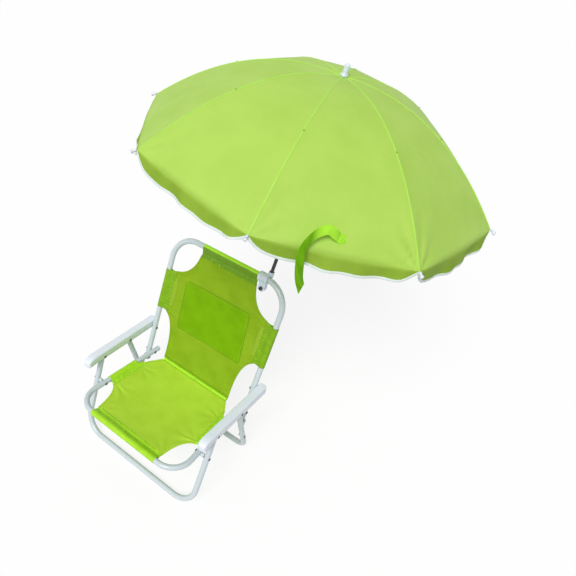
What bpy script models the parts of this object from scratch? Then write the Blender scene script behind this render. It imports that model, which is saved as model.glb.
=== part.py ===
"""Folding beach chair for a child, with a parasol clamped to the top rail of its back.

The chair faces -Y, +X is the sitter's left side and +Z is up.  Lengths are in metres and angles in
degrees.  Four bent steel tubes carry it: seat, back, front legs and rear legs.  The seat, back, front
legs and armrests form a parallelogram, so the back and the front legs stay parallel as the chair folds.
"""
import math

import bmesh
import bpy
import numpy as np
from mathutils import Matrix, Vector

# Driving sizes: tubes and the side view
TUBE_D = 0.0140                # all four frames are bent from the same tube
SEAT_SLOPE = 6.05              # the seat and the armrests drop to the rear by this angle
BACK_ANGLE = 67.2              # back and front legs from the floor line
PIVOT_Y = 0.0655               # back-to-seat pivot, measured in the side view
PIVOT_Z = 0.1342
PIVOT_SPACING = 0.1690         # seat pivot to front leg pivot, along the seat
ARM_LINK_LENGTH = 0.0690       # seat pivots to armrest pivots, along the back and the front legs
REAR_LEG_SPACING = 0.0820      # back pivot to rear leg pivot, along the armrest
SEAT_AHEAD = 0.0833            # front leg pivot to the front rail's centre
SEAT_TAIL = 0.0190             # bare tube behind the seat pivot
BACK_LENGTH = 0.3365           # seat pivot to the top rail's centre
BACK_TAIL = 0.0237             # seat pivot to the brace pivot below it
FRONT_LEG_DROP = 0.1573        # front leg pivot to its floor bar's centre
REAR_LEG_LENGTH = 0.2041       # rear leg pivot to its floor bar's centre
REAR_LEG_ANGLE = 77.7          # rear legs from the floor line
BRACE_ON_LEG = 0.1340          # rear leg pivot to the brace pivot on the leg
TUBE_OVERRUN = 0.0070          # tube beyond the last pivot

# Driving sizes: widths
BACK_HALF = 0.1625             # centre line of the back's tubes from the middle of the chair
SEAT_GAP = 0.0015              # seat tube to back tube at their pivot
SEAT_SPLAY = 0.0130            # the seat widens this much on each side to its front rail
BRACE_GAP = 0.0017             # back tube to brace
BRACE_T = 0.0014
LEG_GAP = 0.0009               # brace to the legs' tubes
SEAT_CORNER = 0.0504           # bend radii at the tubes' centre line
BACK_CORNER = 0.0621
FRONT_LEG_CORNER = 0.0545
REAR_LEG_CORNER = 0.0313

# Driving sizes: armrests, rivets and braces
ARM_WIDTH = 0.0196
ARM_WALL = 0.0020
ARM_TOP = 0.0025
ARM_RISE = 0.0170              # armrest top above its pivots
ARM_SKIRT = 0.0030             # skirt below the pivots
ARM_AHEAD = 0.0514             # front leg pivot to the front end
ARM_REAR = 0.0165              # back pivot to the rear end
ARM_DROOP = 0.0040             # the front end bends down
ARM_NOSE = 0.0300              # length of the bent front end
ARM_EDGE = 0.0020
PIN_R = 0.0025
PIN_GAP = 0.0003               # every running clearance on a rivet
HEAD_R = 0.0040
HEAD_T = 0.0011
BUSH_R = 0.0050
BUSH_GAP = 0.0006              # the bush meets a tube that runs at a small angle
BRACE_W = 0.0100

# Driving sizes: sling
CLOTH_T = 0.0010
SLEEVE_WALL = 0.0005
SLEEVE_GAP = 0.0003
SEAM_R = 0.0050                # rolled seam across the crease
SEAM_INSET = 0.0400            # seat tube to the end of the crease
TOP_BARE_LEFT = 0.0214         # bare tube between the bend and the sleeve on the rail
TOP_BARE_RIGHT = 0.0224
FRONT_BARE_LEFT = 0.0111
FRONT_BARE_RIGHT = 0.0046
BACK_SLEEVE_BARE = 0.0334      # bare tube between the bend and the side sleeve's top
BACK_SLEEVE_LENGTH = 0.1070
SEAT_SLEEVE_BARE = 0.0170      # bare tube between the front leg pivot and the side sleeve
SEAT_SLEEVE_LENGTH = 0.0890
POCKET_BELOW = 0.0995          # pocket's top edge below the top rail
POCKET_LENGTH = 0.1320
POCKET_INSET = 0.0085          # pocket's side edge in from the crease's end
POCKET_T = 0.0012
POCKET_EDGE = 0.0060

# Driving sizes: parasol
APEX_RISE = 0.4250             # pole foot to the cloth's top, along the pole
LEAN = 8.69                    # the pole leans to the rear
SIDE_LEAN = 6.80               # and to the sitter's left
CLAMP_SHORT = 0.0059           # middle of the clamp, short of where the rail's bend starts
FOOT_SIDE = 0.00987            # pole foot from the rail's centre, in X, Y and Z
FOOT_REAR = 0.00982
FOOT_UP = 0.00757
POLE_R = 0.0040
CANOPY_R = 0.3381
CANOPY_DROP = 0.1459
CANOPY_FLAT_SHARE = -0.2244    # how the drop divides between a straight and a curved part
CANOPY_T = 0.0005
GORE_FULL_SHARE = 0.20         # 0 is a straight edge between two ribs, 1 is a round one
RIBS = 8
FIRST_RIB = 239.3              # direction of the first rib about the pole
VALANCE_DROP = 0.0240
VALANCE_TIP = 0.0020
VALANCE_FLARE = 0.0040
VALANCE_WAVE = 0.0015
RIB_R = 0.0012
RIB_GAP = 0.0005               # rib to cloth
RIB_END_SHARE = 0.975
HINGE_R = 0.0096               # rib and stretcher hinges from the pole's axis
STRETCHER_R = 0.0011
STRETCHER_SHARE = 0.46         # where the stretcher meets the rib
CROWN_R = 0.0081
CROWN_T = 0.0090
RUNNER_R = 0.0081
RUNNER_T = 0.0160
FINIAL_H = 0.0200
FINIAL_R = 0.0052
CAP_R = 0.0034
CAP_L = 0.0110
CAP_TAPER_SHARE = 0.75
FIT_GAP = 0.0003               # pieces that touch keep this gap
CLAMP_HALF = 0.0125
CLAMP_WALL = 0.0040
CLAMP_GAP = 0.0010
SOCKET_WALL = 0.0022
SOCKET_TOP = 0.0085
SOCKET_DIP = 0.0060
LUG_L = 0.0270
LUG_T = 0.0110
LUG_W = 0.0180
LUG_SLOT = 0.0016
LUG_ANGLE = 80.0               # the lug points forward and down, from the level
SCREW_R = 0.0018
KNOB_R = 0.0046
KNOB_T = 0.0042
NUT_R = 0.0034
NUT_T = 0.0022
STRAP_W = 0.0130
STRAP_T = 0.0010
OVERRUN = 0.0060               # cutters run past the face they cut
CORE_OVERRUN = 0.0450          # the tube's clearance in the cloth runs on past each sleeve

TUBE_SIDES = 6                 # bevel resolution of the tubes, sixteen sides
WIRE_SIDES = 2
ROUND = 20
RIVET_STEPS = 12
BEND_STEPS = 7
LUG_STEPS = 16
BORE_TURN = 5.0                # turns a bore's edges off the tube's own edges

# Worked out from the sizes above
TUBE_R = TUBE_D / 2
rad = math.radians


def side(angle):
    """Unit vector in the side view, from +Y toward +Z."""
    return Vector((0.0, math.cos(rad(angle)), math.sin(rad(angle))))


FORWARD = side(180 - SEAT_SLOPE)
UP_BACK = side(BACK_ANGLE)
SEAT_PIVOT = Vector((0.0, PIVOT_Y, PIVOT_Z))
LEG_PIVOT = SEAT_PIVOT + FORWARD * PIVOT_SPACING
ARM_PIVOT = SEAT_PIVOT + UP_BACK * ARM_LINK_LENGTH
REAR_PIVOT = ARM_PIVOT + FORWARD * REAR_LEG_SPACING
BRACE_TOP = SEAT_PIVOT - UP_BACK * BACK_TAIL
BRACE_LOW = REAR_PIVOT + side(-REAR_LEG_ANGLE) * BRACE_ON_LEG
BRACE_LENGTH = (BRACE_LOW - BRACE_TOP).length
BRACE_ANGLE = math.degrees(math.atan2(BRACE_LOW.z - BRACE_TOP.z, BRACE_LOW.y - BRACE_TOP.y))

SEAT_FRONT = PIVOT_SPACING + SEAT_AHEAD
ARM_FRONT = PIVOT_SPACING + ARM_AHEAD
SEAT_REAR_HALF = BACK_HALF - TUBE_D - SEAT_GAP
SEAT_FRONT_HALF = SEAT_REAR_HALF + SEAT_SPLAY
LEG_HALF = BACK_HALF + TUBE_D + BRACE_GAP + BRACE_T + LEG_GAP
SEAM_HALF = SEAT_REAR_HALF - SEAM_INSET
TOP_SLEEVE_LEFT = BACK_HALF - BACK_CORNER - TOP_BARE_LEFT
TOP_SLEEVE_RIGHT = BACK_HALF - BACK_CORNER - TOP_BARE_RIGHT
FRONT_SLEEVE_LEFT = SEAT_FRONT_HALF - SEAT_CORNER - FRONT_BARE_LEFT
FRONT_SLEEVE_RIGHT = SEAT_FRONT_HALF - SEAT_CORNER - FRONT_BARE_RIGHT
BACK_SLEEVE_HIGH = BACK_LENGTH - BACK_CORNER - BACK_SLEEVE_BARE
BACK_SLEEVE_LOW = BACK_SLEEVE_HIGH - BACK_SLEEVE_LENGTH
SEAT_SLEEVE_FRONT = PIVOT_SPACING - SEAT_SLEEVE_BARE
SEAT_SLEEVE_REAR = SEAT_SLEEVE_FRONT - SEAT_SLEEVE_LENGTH
POCKET_HIGH = BACK_LENGTH - POCKET_BELOW
POCKET_LOW = POCKET_HIGH - POCKET_LENGTH
POCKET_HALF = SEAM_HALF - POCKET_INSET
ARM_INNER = LEG_HALF - ARM_WIDTH / 2
ARM_OUTER = LEG_HALF + ARM_WIDTH / 2
BRACE_IN = BACK_HALF + TUBE_R + BRACE_GAP
BRACE_OUT = BRACE_IN + BRACE_T
SLEEVE_IN = TUBE_R + SLEEVE_GAP
SLEEVE_OUT = SLEEVE_IN + SLEEVE_WALL


def seat_half(along):
    """Half width of the seat's tubes, at a distance forward of the seat pivot."""
    return SEAT_REAR_HALF + (SEAT_FRONT_HALF - SEAT_REAR_HALF) * along / SEAT_FRONT


# Scene set-up
for old in list(bpy.data.objects):
    bpy.data.objects.remove(old, do_unlink=True)
part = bpy.data.collections.new("canopy_beach_chair")
tools = bpy.data.collections.new("cutters")
bpy.context.scene.collection.children.link(part)
bpy.context.scene.collection.children.link(tools)


def material(name, finish):
    colour, rough, metal = finish
    made = bpy.data.materials.new(name)
    made.use_nodes = True
    node = made.node_tree.nodes["Principled BSDF"]
    node.inputs["Base Color"].default_value = (*colour, 1.0)
    node.inputs["Roughness"].default_value = rough
    node.inputs["Metallic"].default_value = metal
    return made


# each finish: colour, roughness, metallic
PAINT = ((0.80, 0.83, 0.85), 0.32, 0.0)
LIME = ((0.36, 0.68, 0.07), 0.78, 0.0)
LIME_DARK = ((0.24, 0.50, 0.02), 0.80, 0.0)
RIVET_STEEL = ((0.045, 0.045, 0.05), 0.40, 0.7)
POLE_STEEL = ((0.045, 0.045, 0.05), 0.30, 0.8)
BLACK = ((0.045, 0.045, 0.05), 0.50, 0.0)
STEEL = ((0.32, 0.33, 0.34), 0.30, 0.9)
CLEAR = ((0.72, 0.75, 0.74), 0.38, 0.0)

root = bpy.data.objects.new("chair", None)
part.objects.link(root)


def empty(name, place, angle=0.0, parent=root, turn=None):
    """Empty on a joint, its Y axis along the given side view angle."""
    made = bpy.data.objects.new(name, None)
    made.location = place
    made.rotation_euler = turn if turn is not None else (rad(angle), 0.0, 0.0)
    made.parent = parent
    part.objects.link(made)
    return made


def add(name, mesh, parent, finish, place=(0.0, 0.0, 0.0), turn=(0.0, 0.0, 0.0)):
    made = bpy.data.objects.new(name, mesh)
    made.parent = parent
    made.location = place
    made.rotation_euler = turn
    mesh.materials.append(material(name, finish))
    part.objects.link(made)
    return made


def cutter(name, mesh, parent, place=(0.0, 0.0, 0.0), turn=(0.0, 0.0, 0.0)):
    made = bpy.data.objects.new(name, mesh)
    made.parent = parent
    made.location = place
    made.rotation_euler = turn
    made.hide_render = True
    made.display_type = "WIRE"
    tools.objects.link(made)
    return made


def boolean(target, tool, operation="DIFFERENCE"):
    made = target.modifiers.new(operation.lower(), "BOOLEAN")
    made.operation = operation
    made.solver = "EXACT"
    made.object = tool


def smooth(mesh, angle=40.0):
    mesh.shade_smooth()
    mesh.set_sharp_from_angle(angle=rad(angle))


def cylinder(name, radius, length, sides=ROUND, axis="X", top=None):
    """Cylinder or cone about the middle of its axis."""
    work = bmesh.new()
    bmesh.ops.create_cone(work, cap_ends=True, segments=sides, radius1=radius,
                          radius2=radius if top is None else top, depth=length)
    if axis == "X":
        bmesh.ops.rotate(work, matrix=Matrix.Rotation(rad(90), 3, "Y"), verts=work.verts)
    elif axis == "Y":
        bmesh.ops.rotate(work, matrix=Matrix.Rotation(rad(-90), 3, "X"), verts=work.verts)
    mesh = bpy.data.meshes.new(name)
    work.to_mesh(mesh)
    work.free()
    smooth(mesh)
    return mesh


def box(name, size, middle=(0.0, 0.0, 0.0)):
    work = bmesh.new()
    bmesh.ops.create_cube(work, size=1.0)
    bmesh.ops.scale(work, vec=size, verts=work.verts)
    bmesh.ops.translate(work, vec=middle, verts=work.verts)
    mesh = bpy.data.meshes.new(name)
    work.to_mesh(mesh)
    work.free()
    return mesh


def wire(name, points, radius, resolution=TUBE_SIDES):
    """Round bar along points, as a closed mesh."""
    curve = bpy.data.curves.new(name, "CURVE")
    curve.dimensions = "3D"
    curve.bevel_depth = radius
    curve.bevel_resolution = resolution
    curve.use_fill_caps = True
    line = curve.splines.new("POLY")
    line.points.add(len(points) - 1)
    for place, point in zip(line.points, points):
        place.co = (*point, 1.0)
    holder = bpy.data.objects.new(name, curve)
    part.objects.link(holder)
    bpy.context.view_layer.update()
    seen = holder.evaluated_get(bpy.context.evaluated_depsgraph_get())
    mesh = bpy.data.meshes.new_from_object(seen)
    bpy.data.objects.remove(holder, do_unlink=True)
    work = bmesh.new()
    work.from_mesh(mesh)
    bmesh.ops.remove_doubles(work, verts=work.verts, dist=radius / 100)
    bmesh.ops.recalc_face_normals(work, faces=work.faces)
    work.to_mesh(mesh)
    work.free()
    mesh.materials.clear()
    smooth(mesh)
    return mesh


def flat(name, outline, thickness):
    """Flat outline in XY, given its thickness about the plane."""
    curve = bpy.data.curves.new(name, "CURVE")
    curve.dimensions = "2D"
    curve.fill_mode = "BOTH"
    curve.extrude = thickness / 2
    line = curve.splines.new("POLY")
    line.use_cyclic_u = True
    line.points.add(len(outline) - 1)
    for place, point in zip(line.points, outline):
        place.co = (point[0], point[1], 0.0, 1.0)
    holder = bpy.data.objects.new(name, curve)
    part.objects.link(holder)
    bpy.context.view_layer.update()
    seen = holder.evaluated_get(bpy.context.evaluated_depsgraph_get())
    mesh = bpy.data.meshes.new_from_object(seen)
    bpy.data.objects.remove(holder, do_unlink=True)
    work = bmesh.new()
    work.from_mesh(mesh)
    bmesh.ops.remove_doubles(work, verts=work.verts, dist=thickness / 1000)
    bmesh.ops.recalc_face_normals(work, faces=work.faces)
    work.to_mesh(mesh)
    work.free()
    mesh.materials.clear()
    return mesh


def turned(name, profile, steps=ROUND):
    """Solid of revolution about Z; the profile runs down its outer side, top to bottom."""
    mesh = bpy.data.meshes.new(name)
    mesh.from_pydata([(r, 0.0, z) for r, z in profile], [(i, i + 1) for i in range(len(profile) - 1)], [])
    return mesh, steps


def spin(target, steps):
    made = target.modifiers.new("screw", "SCREW")
    made.axis = "Z"
    made.steps = steps
    made.render_steps = steps
    made.use_merge_vertices = True
    made.merge_threshold = PIN_GAP / 100
    made.use_smooth_shade = True


def loft(name, rows, closed):
    """Open surface through rows of points; closed rows join round."""
    mesh = bpy.data.meshes.new(name)
    count = len(rows[0])
    faces = []
    for i in range(len(rows) - 1):
        for j in range(count if closed else count - 1):
            k = (j + 1) % count
            faces.append(((i + 1) * count + j, (i + 1) * count + k, i * count + k, i * count + j))
    mesh.from_pydata([tuple(p) for row in rows for p in row], [], faces)
    return mesh


def thicken(target, thickness, offset):
    made = target.modifiers.new("thickness", "SOLIDIFY")
    made.thickness = thickness
    made.offset = offset
    made.use_even_offset = True


def bent(half_a, half_b, tail, end, corner):
    """U-shaped path in XY: two tubes from Y = tail to a cross bar at Y = end, half_a apart there."""
    slope = (half_b - half_a) / abs(end - tail)
    sign = 1.0 if end > tail else -1.0
    turn = math.pi / 2 + math.atan(slope)
    rise = corner * math.tan(turn / 2)
    path = [Vector((half_a, tail, 0.0))]
    centre_x = half_b - rise
    centre = Vector((centre_x, end - sign * corner, 0.0))
    for i in range(BEND_STEPS + 1):
        a = turn * (1 - i / BEND_STEPS)
        path.append(centre + Vector((corner * math.sin(a), sign * corner * math.cos(a), 0.0)))
    return path + [Vector((-p.x, p.y, p.z)) for p in reversed(path)]


# Joints
seat_at = empty("seat_axis", SEAT_PIVOT, 180 - SEAT_SLOPE)
back_at = empty("back_axis", SEAT_PIVOT, BACK_ANGLE)
front_at = empty("front_leg_axis", LEG_PIVOT, BACK_ANGLE)
rear_at = empty("rear_leg_axis", REAR_PIVOT, -REAR_LEG_ANGLE)
arm_at = empty("armrest_axis", ARM_PIVOT, 180 - SEAT_SLOPE)
brace_at = empty("brace_axis", BRACE_TOP, BRACE_ANGLE)

# Bent tube frames
tail_half = seat_half(-SEAT_TAIL)
seat = add("seat_frame", wire("seat_frame", bent(tail_half, SEAT_FRONT_HALF, -SEAT_TAIL, SEAT_FRONT,
                                                 SEAT_CORNER), TUBE_R), seat_at, PAINT)
back = add("back_frame", wire("back_frame", bent(BACK_HALF, BACK_HALF, -BACK_TAIL - TUBE_OVERRUN,
                                                 BACK_LENGTH, BACK_CORNER), TUBE_R), back_at, PAINT)
front = add("front_leg_frame", wire("front_leg_frame", bent(LEG_HALF, LEG_HALF, ARM_LINK_LENGTH + TUBE_OVERRUN,
                                                            -FRONT_LEG_DROP, FRONT_LEG_CORNER), TUBE_R),
            front_at, PAINT)
rear = add("rear_leg_frame", wire("rear_leg_frame", bent(LEG_HALF, LEG_HALF, -TUBE_OVERRUN, REAR_LEG_LENGTH,
                                                         REAR_LEG_CORNER), TUBE_R), rear_at, PAINT)


def bore(target, parent, along, reach):
    """Rivet bore across the chair; reach is its length from the middle plane of the chair."""
    mesh = cylinder(target.name + "_bore", PIN_R + PIN_GAP, 2 * reach)
    boolean(target, cutter(target.name + "_bore", mesh, parent, (0.0, along, 0.0), (rad(BORE_TURN), 0.0, 0.0)))


WIDE = LEG_HALF + ARM_WIDTH
bore(seat, seat_at, 0.0, WIDE)
bore(seat, seat_at, PIVOT_SPACING, WIDE)
bore(back, back_at, 0.0, WIDE)
bore(back, back_at, ARM_LINK_LENGTH, WIDE)
bore(back, back_at, -BACK_TAIL, WIDE)
bore(front, front_at, 0.0, WIDE)
bore(front, front_at, ARM_LINK_LENGTH, WIDE)
bore(rear, rear_at, 0.0, WIDE)
bore(rear, rear_at, BRACE_ON_LEG, WIDE)

# Armrests: pressed channels, open below
NOSE_SHARES = ((0.0, 0.0), (0.35, 0.06), (0.62, 0.22), (0.82, 0.48), (0.94, 0.76), (1.0, 1.0))


def arm_outline(inset):
    """Side view of the armrest in (along, down), drawn in by inset."""
    top, low = -ARM_RISE + inset, ARM_SKIRT
    body = ARM_FRONT - ARM_NOSE
    tip = ARM_FRONT - inset
    points = [(-ARM_REAR + inset + ARM_NOSE * 0.08, low), (-ARM_REAR + inset, low - (low - top) * 0.25)]
    points += [(-ARM_REAR + inset, top + (low - top) * 0.25), (-ARM_REAR + inset + ARM_NOSE * 0.12, top)]
    for along_share, down_share in NOSE_SHARES:
        reach = body + (tip - body) * along_share
        points.append((reach, top + ARM_DROOP * along_share ** 2 + (low - top) * 0.5 * down_share ** 2))
    points.append((tip - ARM_NOSE * 0.06, low + ARM_DROOP / 2))
    points.append((body, low))
    return points


def channel(name, inset, width):
    """Armrest outline given its width; local Y runs forward and local Z down."""
    mesh = flat(name, arm_outline(inset), width)
    work = bmesh.new()
    work.from_mesh(mesh)
    for v in work.verts:
        v.co = Vector((v.co.z, v.co.x, v.co.y))
    bmesh.ops.recalc_face_normals(work, faces=work.faces)
    work.to_mesh(mesh)
    work.free()
    return mesh


for name, sign in (("left", 1.0), ("right", -1.0)):
    arm = add("armrest_" + name, channel("armrest_" + name, 0.0, ARM_WIDTH), arm_at, PAINT,
              place=(sign * LEG_HALF, 0.0, 0.0))
    hollow = flat("armrest_hollow", arm_outline(ARM_TOP), ARM_WIDTH - 2 * ARM_WALL)
    work = bmesh.new()
    work.from_mesh(hollow)
    for v in work.verts:
        low = v.co.y > 0
        v.co = Vector((v.co.z, v.co.x, v.co.y + (OVERRUN if low else 0.0)))
    bmesh.ops.recalc_face_normals(work, faces=work.faces)
    work.to_mesh(hollow)
    work.free()
    edge = arm.modifiers.new("edge", "BEVEL")
    edge.width = ARM_EDGE
    edge.segments = 2
    edge.limit_method = "ANGLE"
    edge.angle_limit = rad(50)
    boolean(arm, cutter("armrest_hollow_" + name, hollow, arm_at, (sign * LEG_HALF, 0.0, 0.0)))
    for along, half in ((PIVOT_SPACING, ARM_WIDTH), (REAR_LEG_SPACING, ARM_WIDTH), (0.0, ARM_WALL * 1.5)):
        middle = sign * (LEG_HALF if half == ARM_WIDTH else ARM_INNER)
        pin = cylinder("armrest_bore", PIN_R + PIN_GAP, 2 * half)
        boolean(arm, cutter("armrest_bore_" + name, pin, arm_at, (middle, along, 0.0)))

# Rivets: each a turned pin across the chair


def rivet(name, parent, along, x_in, x_out, sign, heads=(True, True), bush=None):
    """Rivet from x_in to x_out, the clear faces of what it holds; bush is a wider part between two faces."""
    gap = PIN_GAP
    profile = []
    if heads[1]:
        profile += [(0.0, x_out + gap + HEAD_T), (HEAD_R * 0.7, x_out + gap + HEAD_T * 0.85),
                    (HEAD_R, x_out + gap + HEAD_T * 0.3), (HEAD_R, x_out + gap), (PIN_R, x_out + gap)]
    else:
        profile += [(0.0, x_out), (PIN_R, x_out)]
    if bush:
        profile += [(PIN_R, bush[1]), (BUSH_R, bush[1]), (BUSH_R, bush[0]), (PIN_R, bush[0])]
    if heads[0]:
        profile += [(PIN_R, x_in - gap), (HEAD_R, x_in - gap), (HEAD_R, x_in - gap - HEAD_T * 0.3),
                    (HEAD_R * 0.7, x_in - gap - HEAD_T * 0.85), (0.0, x_in - gap - HEAD_T)]
    else:
        profile += [(PIN_R, x_in), (0.0, x_in)]
    mesh, steps = turned(name, profile, RIVET_STEPS)
    made = add(name, mesh, parent, RIVET_STEEL, (0.0, along, 0.0), (0.0, rad(90 * sign), 0.0))
    spin(made, steps)
    return made


for name, sign in (("left", 1.0), ("right", -1.0)):
    inner = seat_half(0.0) - TUBE_R
    rivet("seat_back_rivet_" + name, seat_at, 0.0, inner, BACK_HALF + TUBE_R, sign)
    front_seat = seat_half(PIVOT_SPACING)
    rivet("seat_leg_rivet_" + name, seat_at, PIVOT_SPACING, front_seat - TUBE_R, LEG_HALF + TUBE_R, sign,
          bush=(front_seat + TUBE_R + BUSH_GAP, LEG_HALF - TUBE_R - BUSH_GAP))
    rivet("armrest_leg_rivet_" + name, arm_at, PIVOT_SPACING, ARM_INNER, ARM_OUTER, sign)
    rivet("armrest_rear_rivet_" + name, arm_at, REAR_LEG_SPACING, ARM_INNER, ARM_OUTER, sign)
    rivet("armrest_back_rivet_" + name, arm_at, 0.0, BACK_HALF - TUBE_R, ARM_INNER + ARM_WALL, sign)
    rivet("brace_back_rivet_" + name, back_at, -BACK_TAIL, BACK_HALF - TUBE_R, BRACE_OUT, sign,
          heads=(True, False))
    rivet("brace_leg_rivet_" + name, rear_at, BRACE_ON_LEG, BRACE_OUT + FIT_GAP, LEG_HALF + TUBE_R, sign,
          heads=(False, True))
    half = BRACE_W / 2
    rounds = [(half * math.cos(rad(a)), half * math.sin(rad(a))) for a in range(180, 361, 20)]
    rounds += [(half * math.cos(rad(a)), BRACE_LENGTH + half * math.sin(rad(a))) for a in range(0, 181, 20)]
    strip = flat("brace", rounds, BRACE_T)
    strip.transform(Matrix.Rotation(rad(90), 4, "Y"))
    brace = add("rear_brace_" + name, strip, brace_at, PAINT,
                place=(sign * (BRACE_IN + BRACE_OUT) / 2, 0.0, 0.0))
    hole = cylinder("brace_bore", PIN_R + PIN_GAP, BRACE_W)
    boolean(brace, cutter("brace_bore_" + name, hole, brace_at, (sign * (BRACE_IN + BRACE_OUT) / 2, 0.0, 0.0)))

# Sling: cloth panels with sleeves round the tubes


def arc_between(a, b, pull, count=6):
    """Hollow curve from a to b, drawn toward the point pull."""
    points = []
    for i in range(1, count):
        t = i / count
        points.append(tuple((1 - t) ** 2 * a[n] + 2 * t * (1 - t) * pull[n] + t ** 2 * b[n] for n in (0, 1)))
    return points


def sleeve(name, start, end):
    """Cloth tube round a frame tube, between two points of its centre line."""
    a, b = Vector((*start, 0.0)), Vector((*end, 0.0))
    mesh = cylinder(name, SLEEVE_OUT, (b - a).length, axis="Z")
    mesh.transform((b - a).to_track_quat("Z", "Y").to_matrix().to_4x4())
    mesh.transform(Matrix.Translation((a + b) / 2))
    return mesh


def core(name, start, end):
    a, b = Vector((*start, 0.0)), Vector((*end, 0.0))
    mesh = cylinder(name, SLEEVE_IN, (b - a).length + 2 * CORE_OVERRUN, axis="Z")
    mesh.transform((b - a).to_track_quat("Z", "Y").to_matrix().to_4x4())
    mesh.transform(Matrix.Translation((a + b) / 2))
    return mesh


def sling(name, outline, sleeves, parent, finish):
    made = add(name, flat(name, outline, CLOTH_T), parent, finish)
    for i, (start, end) in enumerate(sleeves):
        boolean(made, cutter(f"{name}_sleeve_{i}", sleeve(name + "_sleeve", start, end), parent), "UNION")
    for i, (start, end) in enumerate(sleeves):
        boolean(made, cutter(f"{name}_core_{i}", core(name + "_core", start, end), parent))
    return made


GUTTER = SEAM_R + SLEEVE_GAP       # cloth starts this far from the crease
WAIST_SHARE = 1.06                 # how high the cloth's edge draws in below the sleeves
WAIST_PULL = -0.10                 # and how far, against the crease's end
CORNER_SHARE = 0.03                # how deep the corner cut-outs are, 0 is the deepest

# back panel, X across and Y up the back
low, high, top = BACK_SLEEVE_LOW, BACK_SLEEVE_HIGH, BACK_LENGTH


def back_edge(sign, top_x):
    """Edge of the back panel from the crease up to the top sleeve."""
    crease = (sign * SEAM_HALF, GUTTER)
    sleeve_low, sleeve_high = (sign * BACK_HALF, low), (sign * BACK_HALF, high)
    rail = (sign * top_x, top)
    waist = (sign * (SEAM_HALF + (BACK_HALF - SEAM_HALF) * WAIST_PULL), low * WAIST_SHARE)
    notch = (sign * (top_x + (BACK_HALF - top_x) * CORNER_SHARE), high + (top - high) * CORNER_SHARE * 0.3)
    return [crease] + arc_between(crease, sleeve_low, waist) + [sleeve_low, sleeve_high] + \
        arc_between(sleeve_high, rail, notch) + [rail]


outline = back_edge(1.0, TOP_SLEEVE_LEFT) + list(reversed(back_edge(-1.0, TOP_SLEEVE_RIGHT)))
back_sleeves = [((-TOP_SLEEVE_RIGHT, top), (TOP_SLEEVE_LEFT, top)),
                ((BACK_HALF, low), (BACK_HALF, high)), ((-BACK_HALF, low), (-BACK_HALF, high))]
sling("back_sling", outline, back_sleeves, back_at, LIME_DARK)

# seat panel, X across and Y forward
rear_y, front_y, rail_y = SEAT_SLEEVE_REAR, SEAT_SLEEVE_FRONT, SEAT_FRONT


def seat_edge(sign, rail_x):
    crease = (sign * SEAM_HALF, GUTTER)
    a, b = (sign * seat_half(rear_y), rear_y), (sign * seat_half(front_y), front_y)
    rail = (sign * rail_x, rail_y)
    waist = (sign * (SEAM_HALF + (a[0] * sign - SEAM_HALF) * 0.49), rear_y * 0.68)
    notch = (sign * (rail_x + (abs(b[0]) - rail_x) * CORNER_SHARE), front_y + (rail_y - front_y) * CORNER_SHARE * 0.4)
    return [crease] + arc_between(crease, a, waist) + [a, b] + arc_between(b, rail, notch) + [rail]


outline = seat_edge(1.0, FRONT_SLEEVE_LEFT) + list(reversed(seat_edge(-1.0, FRONT_SLEEVE_RIGHT)))
seat_sleeves = [((-FRONT_SLEEVE_RIGHT, rail_y), (FRONT_SLEEVE_LEFT, rail_y))]
for sign in (1.0, -1.0):
    seat_sleeves.append(((sign * seat_half(rear_y), rear_y), (sign * seat_half(front_y), front_y)))
sling("seat_sling", outline, seat_sleeves, seat_at, LIME)

seam = cylinder("crease_seam", SEAM_R, 2 * SEAM_HALF)
add("crease_seam", seam, seat_at, LIME)

# pocket on the sitter's side of the back panel
middle = (POCKET_LOW + POCKET_HIGH) / 2
tall = (POCKET_HIGH - POCKET_LOW) / 2
corner = POCKET_EDGE
patch = []
for sx, sy, a0 in ((1, 1, 0), (-1, 1, 90), (-1, -1, 180), (1, -1, 270)):
    for step in range(4):
        a = rad(a0 + 30 * step)
        patch.append((sx * (POCKET_HALF - corner) + corner * math.cos(a),
                      middle + sy * (tall - corner) + corner * math.sin(a)))
add("back_pocket", flat("back_pocket", patch, POCKET_T), back_at, LIME_DARK,
    place=(0.0, 0.0, CLOTH_T / 2 + SLEEVE_GAP + POCKET_T / 2))

# Parasol: frame about the pole's axis
rail_in_back = Vector((BACK_HALF - BACK_CORNER - CLAMP_SHORT, BACK_LENGTH, 0.0))
back_turn = Matrix.Rotation(rad(BACK_ANGLE), 3, "X")
RAIL_POINT = SEAT_PIVOT + back_turn @ rail_in_back
RAIL_TANGENT = Vector((1.0, 0.0, 0.0))
pole_turn = Matrix.Rotation(rad(-LEAN), 3, "X") @ Matrix.Rotation(rad(SIDE_LEAN), 3, "Y")
POLE_AXIS = pole_turn @ Vector((0.0, 0.0, 1.0))
FOOT = RAIL_POINT + Vector((FOOT_SIDE, FOOT_REAR, FOOT_UP))
pole_at = empty("parasol_axis", FOOT, turn=pole_turn.to_euler())

# clamp body about the rail
to_rail = RAIL_TANGENT.to_track_quat("X", "Z").to_euler()
clamp_at = empty("clamp_axis", RAIL_POINT, turn=to_rail)
clamp_turn = RAIL_TANGENT.to_track_quat("X", "Z").to_matrix()
CLAMP_BORE = TUBE_R + CLAMP_GAP
clamp_out = CLAMP_BORE + CLAMP_WALL
body = cylinder("clamp", clamp_out, 2 * CLAMP_HALF, 28)
clamp = add("clamp", body, clamp_at, CLEAR)
socket_out = POLE_R + PIN_GAP + SOCKET_WALL
socket = cylinder("clamp_socket", socket_out, SOCKET_TOP + SOCKET_DIP, 24, axis="Z")
boolean(clamp, cutter("clamp_socket", socket, pole_at, (0.0, 0.0, (SOCKET_TOP - SOCKET_DIP) / 2)), "UNION")
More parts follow.
